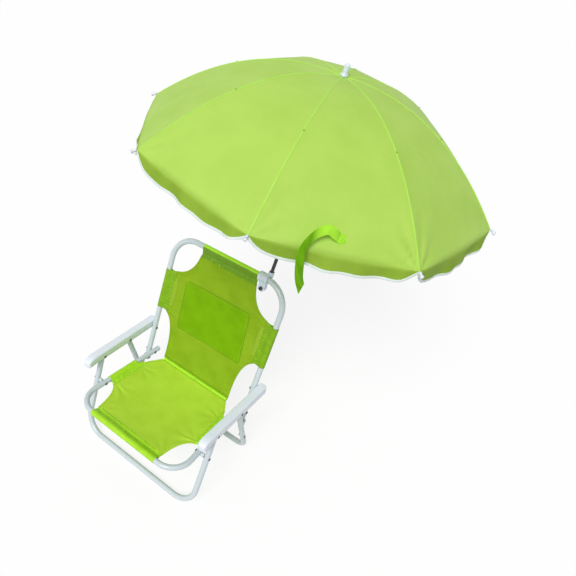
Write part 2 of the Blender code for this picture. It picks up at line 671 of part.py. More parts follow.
# the lug's own axes: X along the rail, Y outward, Z across the slot
lug_turn = (rad(180 + LUG_ANGLE), 0.0, 0.0)
lug_at = empty("lug_axis", (0.0, 0.0, 0.0), parent=clamp_at, turn=lug_turn)
SCREW_AT = CLAMP_BORE + LUG_L - LUG_W / 2
lug_end = [(LUG_W / 2 * math.cos(a), SCREW_AT + LUG_W / 2 * math.sin(a)) for a in
           (math.pi * i / LUG_STEPS for i in range(LUG_STEPS + 1))]
lug = flat("clamp_lug", [(-LUG_W / 2, CLAMP_BORE), (LUG_W / 2, CLAMP_BORE)] + lug_end, LUG_T)
boolean(clamp, cutter("clamp_lug", lug, lug_at), "UNION")
rail_bore = cylinder("clamp_rail_bore", CLAMP_BORE, 2 * (CLAMP_HALF + OVERRUN), 28)
boolean(clamp, cutter("clamp_rail_bore", rail_bore, clamp_at))
pole_bore = cylinder("clamp_pole_bore", POLE_R + PIN_GAP, SOCKET_TOP + OVERRUN + FIT_GAP, 24, axis="Z")
boolean(clamp, cutter("clamp_pole_bore", pole_bore, pole_at, (0.0, 0.0, (SOCKET_TOP + OVERRUN - FIT_GAP) / 2)))
slot = box("clamp_slot", (2 * (CLAMP_HALF + OVERRUN), LUG_L + OVERRUN + CLAMP_BORE, LUG_SLOT),
           (0.0, (LUG_L + OVERRUN + CLAMP_BORE) / 2, 0.0))
boolean(clamp, cutter("clamp_slot", slot, lug_at))
screw_bore = cylinder("clamp_screw_bore", SCREW_R + PIN_GAP, LUG_T + 2 * OVERRUN, 16, axis="Z")
boolean(clamp, cutter("clamp_screw_bore", screw_bore, lug_at, (0.0, SCREW_AT, 0.0)))
half = LUG_T / 2 + PIN_GAP
profile = [(0.0, half + NUT_T), (NUT_R, half + NUT_T), (NUT_R, half), (SCREW_R, half), (SCREW_R, -half),
           (KNOB_R * 0.85, -half), (KNOB_R, -half - KNOB_T * 0.2), (KNOB_R, -half - KNOB_T * 0.8),
           (KNOB_R * 0.85, -half - KNOB_T), (0.0, -half - KNOB_T)]
mesh, steps = turned("clamp_screw", profile)
screw = add("clamp_screw", mesh, lug_at, BLACK, place=(0.0, SCREW_AT, 0.0))
spin(screw, steps)


def drop(t):
    """Fall of the cloth at a share t of the radius."""
    return CANOPY_DROP * (CANOPY_FLAT_SHARE * t + (1 - CANOPY_FLAT_SHARE) * t * t)


def fall(t):
    """Slope of the cloth's section at a share t."""
    return CANOPY_DROP * (CANOPY_FLAT_SHARE + 2 * (1 - CANOPY_FLAT_SHARE) * t) / CANOPY_R


# pole, crown, finial and runner
POLE_TOP = APEX_RISE + FINIAL_H * 0.35
pole = add("pole", cylinder("pole", POLE_R, POLE_TOP, 16, axis="Z"), pole_at, POLE_STEEL,
           place=(0.0, 0.0, POLE_TOP / 2))
CROWN_TOP = APEX_RISE - CANOPY_T - RIB_GAP
HINGE_Z = CROWN_TOP - CANOPY_T - RIB_GAP - RIB_R


def collar(name, radius, height, hole, place, groove=0.0):
    profile = [(hole, height), (radius, height), (radius - groove, height * 0.5), (radius, 0.0), (hole, 0.0),
               (hole, height)]
    mesh, steps = turned(name, profile)
    made = add(name, mesh, pole_at, CLEAR, place)
    spin(made, steps)
    return made


collar("crown", CROWN_R, CROWN_T, POLE_R + FIT_GAP, (0.0, 0.0, CROWN_TOP - CROWN_T))
FLANGE_R = FINIAL_R * 1.3
tip_z = APEX_RISE - drop(FLANGE_R / CANOPY_R) + FIT_GAP
profile = [(0.0, FINIAL_H), (FINIAL_R * 0.5, FINIAL_H * 0.97), (FINIAL_R * 0.8, FINIAL_H * 0.82),
           (FINIAL_R * 0.86, FINIAL_H * 0.3), (FLANGE_R, FINIAL_H * 0.2), (FLANGE_R, 0.0),
           (POLE_R + FIT_GAP, 0.0), (POLE_R + FIT_GAP, FINIAL_H * 0.35), (0.0, FINIAL_H * 0.36)]
mesh, steps = turned("finial", profile)
finial = add("finial", mesh, pole_at, CLEAR, (0.0, 0.0, tip_z))
spin(finial, steps)


# Ribs, stretchers, caps
CLOTH_ROWS = 8
hole_share = (POLE_R + FIT_GAP) / CANOPY_R
ROW_SHARES = [hole_share + (1 - hole_share) * i / CLOTH_ROWS for i in range(CLOTH_ROWS + 1)]


def rib_point(t, below):
    """Point under the cloth at share t, in (outward, up) of the parasol's frame."""
    steep = math.atan(fall(t))
    cloth_fall = float(np.interp(t, ROW_SHARES, [drop(row) for row in ROW_SHARES]))
    return (CANOPY_R * t - below * math.sin(steep), APEX_RISE - cloth_fall - below * math.cos(steep))


UNDER = CANOPY_T + RIB_GAP + RIB_R
start_share = (HINGE_R + RIB_R) / CANOPY_R
q_out, q_up = rib_point(STRETCHER_SHARE, UNDER + RIB_R + STRETCHER_R + FIT_GAP)
hinge_up = rib_point(start_share, UNDER)[1]
LINK_A = math.hypot(q_out - HINGE_R, q_up - hinge_up)
LINK_ANGLE = math.degrees(math.atan2(hinge_up - q_up, q_out - HINGE_R))
RUNNER_UP = hinge_up - 2 * LINK_A * math.sin(rad(LINK_ANGLE))
collar("runner", RUNNER_R, RUNNER_T, POLE_R + PIN_GAP,
       (0.0, 0.0, RUNNER_UP - RUNNER_T + STRETCHER_R * 2), groove=RUNNER_R * 0.12)

for k in range(RIBS):
    heading = FIRST_RIB + 360.0 / RIBS * k
    out = Vector((math.cos(rad(heading)), math.sin(rad(heading)), 0.0))
    points = []
    for t in [start_share] + ROW_SHARES[1:-1] + [RIB_END_SHARE]:
        reach, up = rib_point(t, UNDER)
        points.append((reach - HINGE_R, 0.0, up - hinge_up))
    points[0] = (0.0, 0.0, 0.0)
    add(f"rib_{k}", wire(f"rib_{k}", points, RIB_R, WIRE_SIDES), pole_at, STEEL,
        place=out * HINGE_R + Vector((0.0, 0.0, hinge_up)), turn=(0.0, 0.0, rad(heading)))
    inner = (HINGE_R - q_out, 0.0, RUNNER_UP - q_up)
    add(f"stretcher_{k}", wire(f"stretcher_{k}", [(0.0, 0.0, 0.0), inner], STRETCHER_R, WIRE_SIDES),
        pole_at, STEEL, place=out * q_out + Vector((0.0, 0.0, q_up)), turn=(0.0, 0.0, rad(heading)))
    steep = math.atan(fall(1.0))
    cap = cylinder(f"rib_cap_{k}", CAP_R * CAP_TAPER_SHARE, CAP_L, 12, axis="X", top=CAP_R)
    cap_up = APEX_RISE - CANOPY_DROP
    cap_turn = steep * 0.55
    away = CANOPY_R + FIT_GAP + CAP_R * CAP_TAPER_SHARE * math.sin(cap_turn) + CAP_L / 2 * math.cos(cap_turn)
    add(f"rib_cap_{k}", cap, pole_at, CLEAR,
        place=out * away + Vector((0.0, 0.0, cap_up - CAP_L / 2 * math.sin(cap_turn))),
        turn=(0.0, cap_turn, rad(heading)))

# Canopy cloth with its valance
GORE_STEPS = 6
VALANCE_ROWS = 3


def gore_reach(s):
    """Cloth radius at a share s across one gore, against the rib's."""
    wide = rad(180.0 / RIBS)
    chord = math.cos(wide) / math.cos((2 * s - 1) * wide)
    return chord + (1 - chord) * GORE_FULL_SHARE


rows = []
for i, t in enumerate(ROW_SHARES):
    row = []
    for k in range(RIBS):
        for j in range(GORE_STEPS):
            s = j / GORE_STEPS
            a = rad(FIRST_RIB + 360.0 / RIBS * (k + s))
            reach = CANOPY_R * t * (gore_reach(s) if i else 1.0)
            row.append((reach * math.cos(a), reach * math.sin(a), APEX_RISE - drop(t)))
    rows.append(row)
for i in range(1, VALANCE_ROWS + 1):
    v = i / VALANCE_ROWS
    row = []
    for k in range(RIBS):
        for j in range(GORE_STEPS):
            s = j / GORE_STEPS
            a = rad(FIRST_RIB + 360.0 / RIBS * (k + s))
            hang = VALANCE_TIP + (VALANCE_DROP - VALANCE_TIP) * (1 - (1 - math.sin(math.pi * s)) ** 4)
            wave = VALANCE_WAVE * math.sin(4 * math.pi * s) * v
            reach = CANOPY_R * gore_reach(s) + (VALANCE_FLARE * math.sin(math.pi * s) + wave) * v
            row.append((reach * math.cos(a), reach * math.sin(a), APEX_RISE - CANOPY_DROP - hang * v))
    rows.append(row)
cloth = loft("canopy", rows, True)
smooth(cloth, 35.0)
canopy = add("canopy", cloth, pole_at, LIME)
thicken(canopy, CANOPY_T, -1.0)

# Tie strap sewn on the cloth, hanging over the edge
# each point: gores from the first rib, reach and fall as shares of the cloth's radius and drop, and how far
# the strap's face looks up
STRAP_SHARES = ((1.507, 0.890, 0.885, 1.10), (1.470, 0.902, 0.808, 0.80), (1.409, 0.916, 0.774, 0.60),
                (1.350, 0.938, 0.820, 0.40), (1.311, 0.967, 0.901, 0.30), (1.298, 0.990, 0.989, 0.15),
                (1.305, 0.996, 1.094, 0.0), (1.337, 0.996, 1.248, 0.0), (1.368, 0.993, 1.352, 0.0),
                (1.408, 0.991, 1.439, 0.0))
path, faces_up = [], []
for i, (gores, reach_share, fall_share, up_share) in enumerate(STRAP_SHARES):
    a = rad(FIRST_RIB + 360.0 / RIBS * gores)
    reach = CANOPY_R * reach_share
    height = APEX_RISE - CANOPY_DROP * fall_share
    if i == 0:                          # the sewn end lies on the cloth
        cloth_t = reach_share / gore_reach(gores % 1.0)
        height = APEX_RISE - float(np.interp(cloth_t, ROW_SHARES, [drop(row) for row in ROW_SHARES])) + RIB_GAP
    path.append(Vector((reach * math.cos(a), reach * math.sin(a), height)))
    faces_up.append(Vector((math.cos(a), math.sin(a), up_share)).normalized())
rows = []
for i, point in enumerate(path):
    run = (path[min(i + 1, len(path) - 1)] - path[max(i - 1, 0)]).normalized()
    across = run.cross(faces_up[i]).normalized() * STRAP_W / 2
    rows.append((point + across, point - across))
ribbon = loft("tie_strap", rows, False)
smooth(ribbon, 60.0)
strap = add("tie_strap", ribbon, pole_at, LIME_DARK)
thicken(strap, STRAP_T, 1.0)

# The origin goes on the floor under the middle of the chair's overall box
bpy.context.view_layer.update()
seen = bpy.context.evaluated_depsgraph_get()
lowest, highest = [], []
for piece in part.objects:
    if piece.type == "MESH":
        shape = piece.evaluated_get(seen)
        mesh = shape.to_mesh()
        spots = np.empty(len(mesh.vertices) * 3, dtype=np.float32)
        mesh.vertices.foreach_get("co", spots)
        spots = spots.reshape(-1, 3) @ np.array(shape.matrix_world.to_3x3()).T + np.array(shape.matrix_world.translation)
        lowest.append(spots.min(axis=0))
        highest.append(spots.max(axis=0))
        shape.to_mesh_clear()
lowest, highest = np.min(lowest, axis=0), np.max(highest, axis=0)
root.location = (-(lowest[0] + highest[0]) / 2, -(lowest[1] + highest[1]) / 2, -lowest[2])
bpy.context.view_layer.update()
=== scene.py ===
"""Finished looks of the canopy beach chair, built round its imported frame.

The chair faces -Y, +X is the sitter's left and +Z is up.  Lengths are in metres and angles in degrees.
Seat, back, legs, armrests and parasol each have their own axes, and every piece is made in those axes.
"""
from math import acos, asin, atan, atan2, cos, degrees, exp, floor, hypot, pi, radians as rad, sin, sqrt, tan

import bmesh
import bpy
import numpy as np
from mathutils import Matrix, Vector, noise


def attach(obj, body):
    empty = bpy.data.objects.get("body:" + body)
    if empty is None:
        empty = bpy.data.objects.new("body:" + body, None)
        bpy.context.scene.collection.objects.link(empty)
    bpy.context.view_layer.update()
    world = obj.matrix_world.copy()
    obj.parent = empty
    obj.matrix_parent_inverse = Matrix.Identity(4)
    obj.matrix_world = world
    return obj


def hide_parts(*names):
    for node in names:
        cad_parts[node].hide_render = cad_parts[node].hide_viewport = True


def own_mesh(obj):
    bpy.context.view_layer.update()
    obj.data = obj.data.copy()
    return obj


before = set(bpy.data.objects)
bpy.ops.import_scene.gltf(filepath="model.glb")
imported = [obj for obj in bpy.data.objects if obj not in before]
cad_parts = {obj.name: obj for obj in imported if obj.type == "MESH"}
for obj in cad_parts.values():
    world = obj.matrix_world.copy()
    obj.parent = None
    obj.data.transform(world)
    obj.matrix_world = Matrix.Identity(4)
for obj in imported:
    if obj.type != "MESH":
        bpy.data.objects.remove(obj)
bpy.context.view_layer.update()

# Sizes of the frame, as it was made
TUBE_R = 0.0070
SEAT_SLOPE, BACK_ANGLE, REAR_LEG_ANGLE = 6.05, 67.2, 77.7
PIVOT_SPACING, ARM_LINK_LENGTH, REAR_LEG_SPACING = 0.1690, 0.0690, 0.0820
SEAT_FRONT, SEAT_TAIL, BACK_LENGTH, BACK_TAIL = 0.2523, 0.0190, 0.3365, 0.0237
FRONT_LEG_DROP, REAR_LEG_LENGTH, BRACE_ON_LEG, TUBE_OVERRUN = 0.1573, 0.2041, 0.1340, 0.0070
SEAT_FRONT_HALF, SEAT_REAR_HALF, BACK_HALF, LEG_HALF = 0.1600, 0.1470, 0.1625, 0.1805
SEAT_CORNER, BACK_CORNER, FRONT_LEG_CORNER, REAR_LEG_CORNER = 0.0504, 0.0621, 0.0545, 0.0313
ARM_WIDTH, ARM_WALL, ARM_RISE, ARM_SKIRT = 0.0196, 0.0020, 0.0170, 0.0030
ARM_SHELL = 0.0208             # over the rolled skirts
ARM_FRONT, ARM_REAR, ARM_DROOP, ARM_NOSE = 0.2204, 0.0165, 0.0040, 0.0300
PIN_R, PIN_GAP, HEAD_R, HEAD_T = 0.0025, 0.0003, 0.0040, 0.0011
BUSH_R, BUSH_GAP, BUSH_EDGE = 0.0050, 0.0006, 0.0006
BRACE_OUT = 0.1726
GUTTER = 0.0053                # the slings' cloth starts this far from the crease
SEAM_R, SEAM_HALF = 0.0050, 0.1070
TOP_SLEEVE_LEFT, TOP_SLEEVE_RIGHT = 0.0790, 0.0780
FRONT_SLEEVE_LEFT, FRONT_SLEEVE_RIGHT = 0.0985, 0.1050
BACK_SPAN = BACK_SLEEVE_LOW, BACK_SLEEVE_HIGH = 0.1340, 0.2410        # of the side sleeves, from the crease
SEAT_SPAN = 0.0630, 0.1520

# Sizes of the parasol, as it was made
APEX_RISE, LEAN, SIDE_LEAN = 0.4250, 8.69, 6.80
FOOT_SIDE, FOOT_REAR, FOOT_UP = 0.00987, 0.00982, 0.00757
POLE_R = 0.0040
CANOPY_R, CANOPY_DROP, CANOPY_T = 0.3381, 0.1459, 0.0005
CANOPY_FLAT_SHARE, GORE_FULL_SHARE = -0.2244, 0.20
RIBS, FIRST_RIB = 8, 239.3
GORE = 360.0 / RIBS
VALANCE_TIP, VALANCE_FLARE = 0.0020, 0.0040
RIB_GAP, FIT_GAP = 0.0005, 0.0003
CROWN_R, CROWN_T = 0.0081, 0.0090
RUNNER_R, RUNNER_T, RUNNER_LOW = 0.0081, 0.0160, 0.3572
FINIAL_H, FINIAL_R = 0.0200, 0.0052
CAP_R, CAP_L, CAP_TAPER_SHARE = 0.0034, 0.0110, 0.75
CLAMP_BORE, CLAMP_WALL, CLAMP_HALF, CLAMP_SHORT = 0.0080, 0.0040, 0.0125, 0.0059
SOCKET_OUT, SOCKET_TOP, SOCKET_DIP = 0.0065, 0.0085, 0.0060
LUG_L, LUG_T, LUG_W, LUG_SLOT, LUG_ANGLE = 0.0270, 0.0110, 0.0180, 0.0016, 80.0
SCREW_AT = CLAMP_BORE + LUG_L - LUG_W / 2
SCREW_R, KNOB_R, KNOB_T, NUT_R, NUT_T = 0.0018, 0.0046, 0.0042, 0.0034, 0.0022
STRAP_T = 0.0010

# Axes of the chair's parts
MIDDLE = Vector((-0.13720283, -0.19601110, -0.0000124))
UP = Vector((0.0, 0.0, 1.0))
SIDES = (("left", 1.0), ("right", -1.0))
shift = Matrix.Translation


def spin(angle, axis):
    return Matrix.Rotation(rad(angle), 4, axis)


def side(angle):
    """Unit vector in the side view, from +Y toward +Z."""
    return Vector((0.0, cos(rad(angle)), sin(rad(angle))))


def level(a):
    """Level unit vector at a heading in radians."""
    return Vector((cos(a), sin(a), 0.0))


def axes(point, angle):
    return shift(MIDDLE + point) @ spin(angle, "X")


FORWARD, UP_BACK = side(180 - SEAT_SLOPE), side(BACK_ANGLE)
CREASE = Vector((0.0, 0.0655, 0.1342))
LEG_PIVOT = CREASE + FORWARD * PIVOT_SPACING
ARM_PIVOT = CREASE + UP_BACK * ARM_LINK_LENGTH
REAR_PIVOT = ARM_PIVOT + FORWARD * REAR_LEG_SPACING
RAIL_POINT = CREASE + spin(BACK_ANGLE, "X") @ Vector((BACK_HALF - BACK_CORNER - CLAMP_SHORT, BACK_LENGTH, 0.0))
RAIL_AXES = shift(MIDDLE + RAIL_POINT)
LUG_AXES = RAIL_AXES @ spin(180 + LUG_ANGLE, "X")
PARASOL = axes(RAIL_POINT + Vector((FOOT_SIDE, FOOT_REAR, FOOT_UP)), -LEAN) @ spin(SIDE_LEAN, "Y")
AXES = {"seat": axes(CREASE, 180 - SEAT_SLOPE), "back": axes(CREASE, BACK_ANGLE),
        "front": axes(LEG_PIVOT, BACK_ANGLE), "rear": axes(REAR_PIVOT, -REAR_LEG_ANGLE),
        "armrest": axes(ARM_PIVOT, 180 - SEAT_SLOPE), "clamp": Matrix(),
        "rib": PARASOL, "parasol": PARASOL, "runner": PARASOL}     # by the first word of a body's name


# Soft forms
def arch(share):
    """0 at both ends of a share from 0 to 1, and 1 in its middle."""
    return sin(pi * share)


def bell(away):
    return exp(-away ** 2)


def wander(x, y, z):
    """Smooth unevenness from -1 to 1."""
    return noise.noise(Vector((x, y, z)))


# Camera, at the photograph's place
EYE = Vector((0.4158, -0.7780, 1.1930))
EYE_TURN, EYE_RISE, EYE_ROLL = 37.0154, 46.1892, 2.4947
LENS, SENSOR, SHIFT_X, SHIFT_Y = 32.406, 36.0, 0.12434, 0.07862
NEAREST, FURTHEST = 0.01, 50.0


def add(name, data):
    made = bpy.data.objects.new(name, data)
    bpy.context.scene.collection.objects.link(made)
    return made


def camera():
    turn, rise, roll = rad(EYE_TURN), rad(EYE_RISE), rad(EYE_ROLL)
    back = Vector((sin(turn) * cos(rise), -cos(turn) * cos(rise), sin(rise)))
    right = (-back).cross(UP).normalized()
    up = right.cross(-back)
    right, up = right * cos(roll) + up * sin(roll), up * cos(roll) - right * sin(roll)
    made = add("camera", bpy.data.cameras.new("camera"))
    made.data.lens, made.data.sensor_width = LENS, SENSOR
    made.data.shift_x, made.data.shift_y = SHIFT_X, SHIFT_Y
    made.data.clip_start, made.data.clip_end = NEAREST, FURTHEST
    made.matrix_world = shift(EYE) @ Matrix((right, up, back)).transposed().to_4x4()
    bpy.context.scene.camera = made


camera()


# Finishes
class Value:
    """A shader socket that takes part in arithmetic."""

    def __init__(self, nodes, socket):
        self.nodes, self.socket = nodes, socket

    def math(self, operation, *others):
        return self.nodes.node("ShaderNodeMath", {"operation": operation}, dict(enumerate((self, *others))))

    def __add__(self, other):
        return self.math("ADD", other)

    def __sub__(self, other):
        return self.math("SUBTRACT", other)

    def __mul__(self, other):
        return self.math("MULTIPLY", other)

    __radd__, __rmul__ = __add__, __mul__

    def __rsub__(self, other):
        return self * -1.0 + other

    def wave(self, pitch):
        """-1 to 1 over each pitch."""
        return (self * (2 * pi / pitch)).math("SINE")

    def between(self, low, high):
        """0 below low, 1 above high, smooth between."""
        return self.nodes.node("ShaderNodeMapRange", {"interpolation_type": "SMOOTHSTEP"},
                               {0: self, 1: low, 2: high, 3: 0.0, 4: 1.0})


class Nodes:
    """Nodes of one look, each made with its settings and what feeds its sockets."""

    def __init__(self, holder):
        holder.use_nodes = True
        self.tree = holder.node_tree

    def node(self, kind, settings=None, sockets=None, out=0):
        made = self.tree.nodes.new(kind)
        for words, value in (settings or {}).items():
            setattr(made, words, value)
        for place, value in (sockets or {}).items():
            self.feed(made.inputs[place], value)
        return Value(self, made.outputs[out])

    def feed(self, socket, value):
        if isinstance(value, Value):
            self.tree.links.new(value.socket, socket)
        elif socket.type == "RGBA":
            socket.default_value = (*value, 1.0)
        else:
            socket.default_value = value


class Finish(Nodes):
    """One surface finish: a Principled shader fed by nodes."""

    def __init__(self, name, rough, metal=0.0, **fixed):
        self.material = bpy.data.materials.new(name)
        super().__init__(self.material)
        self.shader = self.tree.nodes["Principled BSDF"]
        self.set("Roughness", rough)
        self.set("Metallic", metal)
        for words, value in fixed.items():
            self.set(words.replace("_", " ").title().replace("Ior", "IOR"), value)

    def set(self, words, value):
        self.feed(self.shader.inputs[words], value)

    def mix(self, share, first, second):
        return self.node("ShaderNodeMix", {"data_type": "RGBA"}, {0: share, 6: first, 7: second}, 2)

    def cloth_place(self):
        """Place on the cloth in metres, then its two parts: across and along."""
        place = self.node("ShaderNodeUVMap", {"uv_map": "cloth"})
        return place, *(self.node("ShaderNodeSeparateXYZ", None, {0: place}, way) for way in (0, 1))

    def solid_place(self):
        return self.node("ShaderNodeTexCoord", None, None, 3)

    def cloud(self, place, pitch, detail=2.0, stretch=(1.0, 1.0, 1.0)):
        """Noise from 0 to 1 with features about pitch long."""
        scaled = self.node("ShaderNodeVectorMath", {"operation": "MULTIPLY"}, {0: place, 1: stretch})
        return self.node("ShaderNodeTexNoise", None,
                         {"Vector": scaled, "Scale": 1.0 / pitch, "Detail": detail, "Roughness": 0.5})

    def relief(self, height, depth):
        self.set("Normal", self.node("ShaderNodeBump", None,
                                     {"Strength": 1.0, "Distance": depth, "Height": height}))

    def let_light_through(self, share, colour):
        through = self.node("ShaderNodeBsdfTranslucent", None, {"Color": colour})
        both = self.node("ShaderNodeMixShader", None,
                         {0: share, 1: Value(self, self.shader.outputs[0]), 2: through})
        self.feed(self.tree.nodes["Material Output"].inputs["Surface"], both)


THREAD_RUN = 0.08              # a slub is this much narrower than it is long
CLOTH_RELIEF = 0.00022


def cloth_finish(name, light, deep, rough, mottle, gloss=0.22, fuzz=0.06, weave=0.0011, through=0.0,
                 whole=False, band=None, spared=None):
    """Woven cloth: light and deep are the two ends of its colour, weave the pitch of its threads.

    A whole cloth keeps its shades across the edges of its panels. A band holds which way it is measured,
    where it starts and ends, and the two colours before it. Cloth nearer to its middle column than spared
    has no band.
    """
    made = Finish(name, rough, sheen_weight=fuzz, sheen_roughness=0.45, specular_ior_level=gloss)
    place, across, along = made.cloth_place()
    ground = made.solid_place() if whole else place
    threads = across.wave(weave) * along.wave(weave)
    patches = made.cloud(ground, mottle, 3.0).between(0.30, 0.72)
    slubs = made.cloud(place, weave * 6, 1.0, (1.0, THREAD_RUN, 1.0)) \
        + made.cloud(place, weave * 6, 1.0, (THREAD_RUN, 1.0, 1.0))
    share = (patches * 0.62 + (slubs - 1.0) * 0.25 + threads * 0.06).math("MAXIMUM", 0.0)
    colour = made.mix(share, light, deep)
    if band:
        way, start, end, first_light, first_deep = band
        past = (across if way == "across" else along).between(start, end)
        if spared:
            past = past * across.math("ABSOLUTE").between(*spared)
        colour = made.mix(past, made.mix(share, first_light, first_deep), colour)
    made.set("Base Color", colour)
    made.set("Roughness", patches * 0.08 + (rough - 0.04))
    soft = made.cloud(ground, 0.012, 2.0, (1.0, 0.45, 1.0))
    made.relief(soft + threads * (weave * 90) + slubs * 0.05, CLOTH_RELIEF)
    if through:
        made.let_light_through(through, colour)
    return made.material


def paint_finish(name, colour, shade):
    """Powder coated steel: fine orange peel, with patches of dust and fine specks at random."""
    made = Finish(name, 0.34, coat_weight=0.25, coat_roughness=0.18)
    place = made.solid_place()
    dust = made.cloud(place, 0.030, 4.0).between(0.50, 0.85)
    speck = made.cloud(place, 0.0022).between(0.68, 0.76)
    made.set("Base Color", made.mix(dust * 0.30 + speck * 0.10, colour, shade))
    made.set("Roughness", made.cloud(place, 0.014, 3.0) * 0.16 + 0.26)
    made.relief(made.cloud(place, 0.0016) + speck * 0.4, 0.00006)
    return made.material


def steel_finish(name, colour, rough, worn):
    """Drawn steel with fine scratches along and across it."""
    made = Finish(name, rough, 0.9)
    place = made.solid_place()
    rubbed = made.cloud(place, 0.006, 4.0).between(0.45, 0.80)
    made.set("Base Color", made.mix(rubbed * 0.55, colour, worn))
    made.set("Roughness", rubbed * 0.20 + rough)
    made.relief(made.cloud(place, 0.0010, 3.0, (1.0, 1.0, 0.15)), 0.00004)
    return made.material


def plastic_finish(name, colour, shade, rough, **fixed):
    """Moulded plastic with a faint flow in its colour and a fine spark-eroded grain."""
    made = Finish(name, rough, **fixed)
    place = made.solid_place()
    flow = made.cloud(place, 0.008, 3.0)
    made.set("Base Color", made.mix(flow.between(0.35, 0.75), colour, shade))
    made.set("Roughness", flow * 0.12 + (rough - 0.06))
    made.relief(made.cloud(place, 0.0007), 0.00003)
    return made.material


PANEL_LENGTH = 1.09 * CANOPY_R                     # along a gore from the apex to the fold
FOLD_SOFT = 0.0085                                 # half of the fold's width
# Painted shade: the valance has the canopy's cloth in darker colours, standing in for the shade on its hanging
# band, and the canopy darkens into them across the fold, except near the ribs.
FOLD_PAINTED_SHADE_BAND = ("along", PANEL_LENGTH - FOLD_SOFT, PANEL_LENGTH + FOLD_SOFT,
               (0.510, 0.762, 0.120), (0.458, 0.700, 0.096))
VALANCE_PAINTED_SHADE_COLOURS = (0.300, 0.473, 0.048), (0.240, 0.396, 0.031)
CANOPY_CLOTH = cloth_finish("canopy_cloth", *VALANCE_PAINTED_SHADE_COLOURS, 0.52, 0.060, 0.42, 0.0, 0.0007, 0.16, True,
                            FOLD_PAINTED_SHADE_BAND, (0.015, 0.075))
# The valance's finish: the canopy's cloth painted darker as painted shade, and lighter near the fold.
VALANCE_PAINTED_SHADE_CLOTH = cloth_finish("canopy_valance_painted_shade", *VALANCE_PAINTED_SHADE_COLOURS, 0.62, 0.035, 0.10, 0.0, 0.0007, 0.06,
                             True, FOLD_PAINTED_SHADE_BAND)
# The seams are a lighter lime than the canopy: painted highlight along the raised seams over the ribs.
SEAM_HIGHLIGHT_CLOTH = cloth_finish("canopy_seam_painted_highlight", (0.47, 0.84, 0.12), (0.42, 0.76, 0.09), 0.55, 0.035,
                          weave=0.0007)
SLING_CLOTH = cloth_finish("sling_cloth", (0.545, 0.815, 0.056), (0.455, 0.715, 0.034), 0.60, 0.050, 0.14,
                           through=0.12)
SEAT_HEM_CLOTH = cloth_finish("seat_hem_cloth", (0.430, 0.790, 0.022), (0.300, 0.610, 0.013), 0.45, 0.020, 0.34,
                              0.0)
# The back's cloth and its side hems are the seat's cloth in darker colours: painted shade of the upright back.
BACK_SHADED_CLOTH = cloth_finish("back_cloth", (0.310, 0.500, 0.018), (0.235, 0.410, 0.009), 0.66, 0.045, 0.08, 0.02,
                          through=0.12)
BACK_HEM_SHADED_CLOTH = cloth_finish("back_hem_cloth", (0.232, 0.445, 0.010), (0.160, 0.335, 0.005), 0.50, 0.016, 0.20,
                              0.0)
# The top sleeve is the back's hem cloth in brighter colours, a painted highlight on the lit upper side of the
# tube, and its band is a dark green stripe along the hem below the tube, painted shade.
TOP_HEM_PAINTED_LIGHT_CLOTH = cloth_finish("top_hem_painted_light_and_shade", (0.500, 0.920, 0.026), (0.400, 0.790, 0.016), 0.42, 0.018, 0.40,
                             0.0, band=("across", -0.0120, -0.0085,
                                        (0.165, 0.345, 0.003), (0.125, 0.280, 0.002)))
FACING_CLOTH = cloth_finish("hem_facing", (0.300, 0.470, 0.030), (0.255, 0.415, 0.020), 0.66, 0.012, 0.12)
POCKET_CLOTH = cloth_finish("pocket_cloth", (0.204, 0.430, 0.0028), (0.155, 0.350, 0.0018), 0.66, 0.040, 0.06,
                            0.02)
STRAP_CLOTH = cloth_finish("strap_webbing", (0.185, 0.475, 0.004), (0.090, 0.290, 0.002), 0.55, 0.016, 0.10,
                           0.0, 0.0016, band=("along", 0.040, 0.066,
                                              (0.460, 0.900, 0.055), (0.360, 0.780, 0.035)))
THREAD = cloth_finish("thread", (0.32, 0.60, 0.03), (0.24, 0.48, 0.02), 0.55, 0.004, weave=0.0004)
BINDING = cloth_finish("white_binding", (0.80, 0.88, 0.84), (0.66, 0.77, 0.72), 0.70, 0.020, weave=0.0009)
PAINT = paint_finish("white_paint", (0.590, 0.660, 0.705), (0.480, 0.552, 0.590))
ARM_PAINT = paint_finish("armrest_paint", (0.81, 0.86, 0.97), (0.70, 0.76, 0.89))
RIVET_STEEL = steel_finish("rivet_steel", (0.10, 0.10, 0.105), 0.36, (0.26, 0.26, 0.26))
POLE_STEEL = steel_finish("pole_steel", (0.055, 0.055, 0.058), 0.24, (0.14, 0.14, 0.14))
WIRE_STEEL = steel_finish("wire_steel", (0.46, 0.47, 0.48), 0.28, (0.60, 0.60, 0.60))
CLEAR = plastic_finish("milky_plastic", (0.74, 0.80, 0.90), (0.64, 0.71, 0.82), 0.30,
                       subsurface_weight=0.35, subsurface_scale=0.004)
BLACK = plastic_finish("black_plastic", (0.030, 0.030, 0.032), (0.050, 0.050, 0.052), 0.42)


# Making pieces from rows of points
def lengths(rows, closed):
    """Distance across and along at each point of the rows, from the middle column and the first row."""
    spots = np.array([[tuple(p) for p in row] for row in rows], float)
    if closed:
        spots = np.concatenate([spots, spots[:, :1]], 1)
    across = np.cumsum(np.linalg.norm(np.diff(spots, axis=1), axis=2), 1)
    across = np.concatenate([np.zeros((len(spots), 1)), across], 1)
    across -= across[:, across.shape[1] // 2][:, None]
    along = np.cumsum(np.linalg.norm(np.diff(spots, axis=0), axis=2), 0)
    along = np.concatenate([np.zeros((1, spots.shape[1])), along], 0)
    return np.stack([across, along], 2)


